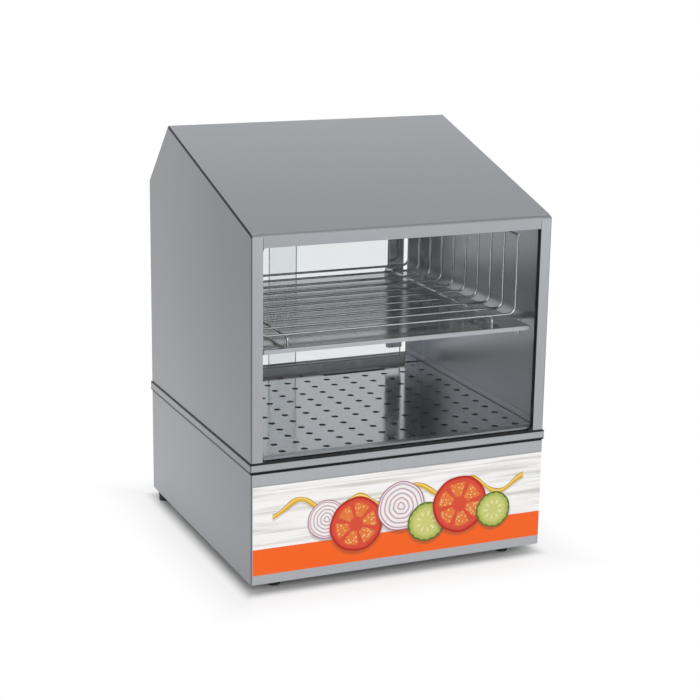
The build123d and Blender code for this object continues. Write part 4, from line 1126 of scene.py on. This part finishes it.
@dataclass
class Controls(Assembly):
    """Rear panel with its knob, switch, lamp and cord gland.

    Attributes:
        ticks: marks round the knob.
        sweep: angle that the knob turns through, in degrees.
        tick_r: radius at which a mark starts.
        tick: width and length of a mark.
        ink_t: height of the printed ink.
        digit_h: height of the numbers.
        digit_r: radius at which the numbers stand.
        bezel: thickness of the lamp's and the switch's bezels.
        pointer_w: width of the knob's line.
        pointer_start: where the line starts, from the knob's middle.
        pointer_rim: where it ends, inside the knob's outline.
        rocker_tilt: angle at which the rocker stands at rest, in degrees.
        rocker_d: depth of the rocker's frame, whose middle holds the pivot.
        rocker_r: rocker's face from its pivot.
        mark_off: middle of each switch mark from the middle of the face.
        stroke: width and length of the bar on the rocker.
        ring_r: outer radius of the ring on it.
        ring_hole: radius of the ring's hole as a share of the outer one.
    """

    ticks: int = 7
    sweep: float = 270.0
    tick_r: float = 21.4 * MM
    tick: Span = (0.7 * MM, 2.6 * MM)
    ink_t: float = 0.06 * MM
    digit_h: float = 4.6 * MM
    digit_r: float = 27.4 * MM
    bezel: float = 1.6 * MM
    pointer_w: float = 1.1 * MM
    pointer_start: float = 2.5 * MM
    pointer_rim: float = 5.5 * MM
    rocker_tilt: float = 10.0
    rocker_d: float = 9.4 * MM
    rocker_r: float = 5.2 * MM
    mark_off: float = 4.2 * MM
    stroke: Span = (0.7 * MM, 3.0 * MM)
    ring_r: float = 1.7 * MM
    ring_hole: float = 0.66
    looks: Looks = (
        (REAR_STEEL, "rear_panel"),
        (FASTENER, "rear_panel_screws thermostat_shaft"),
        (BLACK_PLASTIC, "thermostat_body thermostat_knob limit_thermostat switch_housing"),
        (BLACK_PLASTIC, "pilot_lamp_body cord_gland gland_locknut"),
        (BRASS, "thermostat_bulb"),
        (INNER_ACROSS, "bulb_clip"),
        (RED_PLASTIC, "power_rocker"),
        (AMBER, "pilot_lamp_lens"),
        (WHITE_NYLON, "terminal_block"),
    )

    def build(self) -> None:
        """Dresses the nodes and adds screws, dial marks and switch marks."""
        super().build()
        Fasteners("rear_panel_screws", (0, 1, 0), (0, 0, 1)).build()
        self.build_dial()
        self.build_pointer()
        self.build_switch_marks()

    def knob_axis(self) -> Point:
        """Finds the knob's place on the recess floor.

        Returns:
            Its middle across, the floor's own place along Y, and its middle up.
        """
        low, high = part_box("thermostat_knob")
        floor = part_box("pilot_lamp_body")[1].y - self.bezel
        return (low.x + high.x) / 2, floor, (low.z + high.z) / 2

    def build_dial(self) -> None:
        """Printed marks and numbers on the recess floor, clockwise seen from the back."""
        face = turned_to(self.knob_axis(), (0, 1, 0), (0, 0, 1))
        mesh = bmesh.new()
        for tick in range(self.ticks):
            angle = math.radians(self.sweep) * tick / (self.ticks - 1)
            turn = Matrix.Rotation(-angle, 4, "Z")
            add_bar(mesh, face @ turn, self.tick_r + self.tick[1] / 2, self.tick, self.ink_t)
            spot = face @ Matrix.Translation(turn @ Vector((0, self.digit_r, 0)))
            add_text(mesh, str(tick), spot, (self.digit_h, self.ink_t))
        piece("dial_marks", mesh, BLACK_INK, "base")

    def build_pointer(self) -> None:
        """White line along the knob's grip bar."""
        low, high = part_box("thermostat_knob")
        x, _, z = self.knob_axis()
        mesh = bmesh.new()
        end = (high.z - low.z) / 2 - self.pointer_rim
        size = (self.pointer_w, end - self.pointer_start)
        face = turned_to((x, high.y, z), (0, 1, 0), (0, 0, 1))
        add_bar(mesh, face, (self.pointer_start + end) / 2, size, self.ink_t)
        piece("knob_pointer", mesh, WHITE_INK, "knob")

    def build_switch_marks(self) -> None:
        """A bar and a ring on the two ends of the rocker."""
        low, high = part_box("power_rocker")
        tilt = math.radians(self.rocker_tilt)
        outward = (0, math.cos(tilt), -math.sin(tilt))
        upward = (0, math.sin(tilt), math.cos(tilt))
        _, floor, z = self.knob_axis()
        y = floor + self.bezel - self.rocker_d / 2 + self.rocker_r
        face = turned_to(((low.x + high.x) / 2, y, z), outward, upward)
        mesh = bmesh.new()
        add_bar(mesh, face, self.mark_off, self.stroke, self.ink_t)
        ring = bmesh.ops.create_circle(mesh, segments=32, radius=self.ring_r)["verts"]
        rim = list({edge for vert in ring for edge in vert.link_edges})
        grown = bmesh.ops.extrude_edge_only(mesh, edges=rim)
        inner = [item for item in grown["geom"] if isinstance(item, bmesh.types.BMVert)]
        bmesh.ops.scale(mesh, verts=inner, vec=(self.ring_hole, self.ring_hole, 1))
        verts = ring + inner
        flat = list({item for vert in verts for item in vert.link_faces})
        verts += extruded(mesh, flat, self.ink_t)
        place = face @ Matrix.Translation((0, -self.mark_off, 0))
        bmesh.ops.transform(mesh, matrix=place, verts=verts)
        piece("switch_marks", mesh, WHITE_INK, "rocker")


@dataclass
class Hood(Assembly):
    """Lift-off hood: panels, front glass, rear frame, shelf and its brackets."""

    looks: Looks = (
        (HOOD_STEEL, "left_side_panel right_side_panel"),
        (ROOF_STEEL, "roof_panel"),
        (GLASS, "front_glass"),
        (SILL_STEEL, "front_sill"),
        (SHELF_STEEL, "bun_shelf"),
        (INNER_UPRIGHT, "left_glass_retainer right_glass_retainer left_rear_jamb right_rear_jamb"),
        (INNER_ACROSS, "rear_header shelf_brackets"),
        (BLACK_RUBBER, "glass_gasket door_bumpers"),
        (GREY_TRACK, "bottom_track"),
        (DARK_TRACK, "top_track"),
    )


@dataclass
class Doors(Assembly):
    """Two sliding glass doors with their pulls and glides."""

    looks: Looks = (
        (GLASS, "left_door_glass right_door_glass"),
        (INNER_UPRIGHT, "left_door_handle right_door_handle"),
        (WHITE_NYLON, "left_door_glides right_door_glides"),
    )


@dataclass
class Rack(Assembly):
    """Wire bun rack with a nugget at each weld.

    Attributes:
        wire_r: radius of the wire.
        count: cross wires.
        overrun: rails past the outer cross wires.
        runner_span: runners from each other, centre to centre.
        leg_h: runner's centre above the shelf.
        sink: depth by which welded wires sink into each other.
        bead_r: radius of a nugget.
        bead_flat: its height as a share of its width.
    """

    wire_r: float = 1.6 * MM
    count: int = 10
    overrun: float = 3.0 * MM
    runner_span: float = 264.0 * MM
    leg_h: float = 8.3 * MM
    sink: float = 0.4 * MM
    bead_r: float = 1.792 * MM
    bead_flat: float = 0.55
    looks: Looks = ((PLATED_WIRE, "bun_rack"),)

    def build(self) -> None:
        """Dresses the rack and adds the weld nuggets."""
        super().build()
        low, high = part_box("bun_rack")
        x0, x1 = low.x + self.wire_r, high.x - self.wire_r
        first = low.y + self.wire_r + self.overrun
        last = high.y - self.wire_r - self.overrun
        z_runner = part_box("bun_shelf")[1].z + self.leg_h
        z_low = z_runner + self.wire_r - self.sink / 2
        z_high = high.z - 2 * self.wire_r + self.sink / 2
        left, right = ((x0 + x1 + way * self.runner_span) / 2 for way in (-1, 1))
        mesh = bmesh.new()
        for wire in range(self.count):
            y = first + (last - first) * wire / (self.count - 1)
            for x, z in ((left, z_low), (right, z_low), (x0, z_high), (x1, z_high)):
                bead = bmesh.ops.create_icosphere(mesh, subdivisions=2, radius=self.bead_r)
                bmesh.ops.scale(mesh, verts=bead["verts"], vec=(1.0, 1.0, self.bead_flat))
                bmesh.ops.translate(mesh, verts=bead["verts"], vec=(x, y, z))
        piece("rack_weld_nuggets", mesh, PLATED_WIRE, "rack", True)


# studio
@dataclass(frozen=True)
class Lamp:
    """Soft box.

    Attributes:
        name: its name.
        place: where it hangs.
        size: width and height of its face.
        power: watts.
    """

    name: str
    place: Point
    size: Span
    power: float


@dataclass
class Studio:
    """Pale floor, white surroundings, soft boxes and the photograph's camera.

    Attributes:
        eye: camera's place in metres.
        yaw: camera's turn to the right of straight on, in degrees.
        pitch: its tilt down.
        roll: its turn about its own axis.
        lens: focal length for a sensor 36 mm wide.
        ambient: strength of the surroundings as light.
        aim: point that the lamps face.
        floor_size: side of the floor.
        floor_glow: share of the floor near the piece that shows plain white.
        under: distances outside the footprint over which the shadow below it ends.
        shadow_reach: distance from the piece at which the floor is plain white.
        lamps: the soft boxes.
    """

    eye: Point = (-0.8626, -1.9928, 0.8038)
    yaw: float = 23.731
    pitch: float = 14.766
    roll: float = 0.905
    lens: float = 91.376
    ambient: float = 0.62
    aim: Point = (0.0, 0.0, 0.25)
    floor_size: float = 8.0
    floor_glow: float = 0.72
    under: Span = (-0.006, 0.014)
    shadow_reach: float = 0.08
    lamps: tuple[Lamp, ...] = (
        Lamp("key_box", (-0.6, -2.7, 1.5), (1.6, 1.4), 25.0),
        Lamp("fill_box", (1.3, -2.5, 0.25), (1.8, 0.45), 3.0),
        Lamp("top_box", (0.0, -0.4, 2.6), (1.8, 1.4), 3.0),
    )

    def build(self) -> None:
        """Sets up colours, world, floor, lamps and camera."""
        bpy.context.scene.view_settings.view_transform = "Standard"
        self.build_world()
        self.build_floor()
        for lamp in self.lamps:
            self.build_lamp(lamp)
        self.build_camera()
        log.info("studio: %d lamps", len(self.lamps))

    @staticmethod
    def seen(tree: Tree) -> Signal:
        """Tells the rays that show the background.

        Args:
            tree: the tree that gets the nodes.

        Returns:
            1 for rays from the camera, a mirror or glass, and 0 for others.
        """
        rays = tree.node("ShaderNodeLightPath").outputs
        camera, mirror, glass = (
            Signal(tree, rays[f"Is {kind} Ray"]) for kind in ("Camera", "Glossy", "Transmission")
        )
        return camera.most(mirror).most(glass)

    def build_world(self) -> None:
        """White surroundings that light the piece more softly than they look."""
        world = bpy.data.worlds.new("surroundings")
        bpy.context.scene.world = world
        tree = Tree(world)
        strength = self.ambient + (1.0 - self.ambient) * self.seen(tree)
        inputs = {"Color": WHITE, "Strength": strength}
        tree.surface(tree.node("ShaderNodeBackground", inputs=inputs).outputs[0], "World")

    def build_floor(self) -> None:
        """White floor that takes the piece's shadow."""
        mesh = bmesh.new()
        bmesh.ops.create_grid(mesh, x_segments=8, y_segments=8, size=self.floor_size / 2)
        data = bpy.data.meshes.new("floor")
        mesh.to_mesh(data)
        mesh.free()
        floor = linked("floor", data)
        paint = bpy.data.materials.new("floor_white")
        tree = Tree(paint)
        glow = tree.node("ShaderNodeEmission", inputs={"Color": WHITE, "Strength": 1.0})
        matt = tree.shader((0.92, 0.92, 0.92), 0.35)
        x, y, _ = tree.place().parts()
        beyond = (abs(x) - cad_box[1].x).most(abs(y) - cad_box[1].y)
        open_floor = beyond.rise(*self.under) * self.floor_glow
        open_floor = open_floor + beyond.rise(0.0, self.shadow_reach) * (1.0 - self.floor_glow)
        tree.surface(tree.blend(open_floor * self.seen(tree), matt, glow.outputs[0]))
        data.materials.append(paint)

    def build_lamp(self, lamp: Lamp) -> None:
        """Hangs one soft box, facing the aim.

        Args:
            lamp: the soft box.
        """
        light = bpy.data.lights.new(lamp.name, "AREA")
        light.shape = "RECTANGLE"
        light.size, light.size_y = lamp.size
        light.energy = lamp.power
        holder = linked(lamp.name, light)
        holder.location = lamp.place
        way = Vector(self.aim) - Vector(lamp.place)
        holder.rotation_euler = way.to_track_quat("-Z", "Y").to_euler()

    def build_camera(self) -> None:
        """Camera at the photograph's angle."""
        yaw, pitch, roll = (math.radians(a) for a in (self.yaw, self.pitch, self.roll))
        forward = Vector(
            (math.sin(yaw) * math.cos(pitch), math.cos(yaw) * math.cos(pitch), -math.sin(pitch))
        )
        right = Vector((math.cos(yaw), -math.sin(yaw), 0.0))
        up = right.cross(forward)
        side = math.cos(roll) * right + math.sin(roll) * up
        top = math.cos(roll) * up - math.sin(roll) * right
        turn = Matrix((side, top, -forward)).transposed().to_4x4()
        data = bpy.data.cameras.new("camera")
        data.lens = self.lens
        camera = linked("camera", data)
        camera.matrix_world = Matrix.Translation(Vector(self.eye)) @ turn
        bpy.context.scene.camera = camera


def main() -> None:
    """Builds the studio and dresses the steamer, one sub-assembly after another."""
    logging.basicConfig(level=logging.INFO, format="%(name)s: %(message)s")
    for part in (Studio(), Base(), Controls(), Hood(), Doors(), Rack()):
        part.build()


if __name__ == "__main__":
    main()
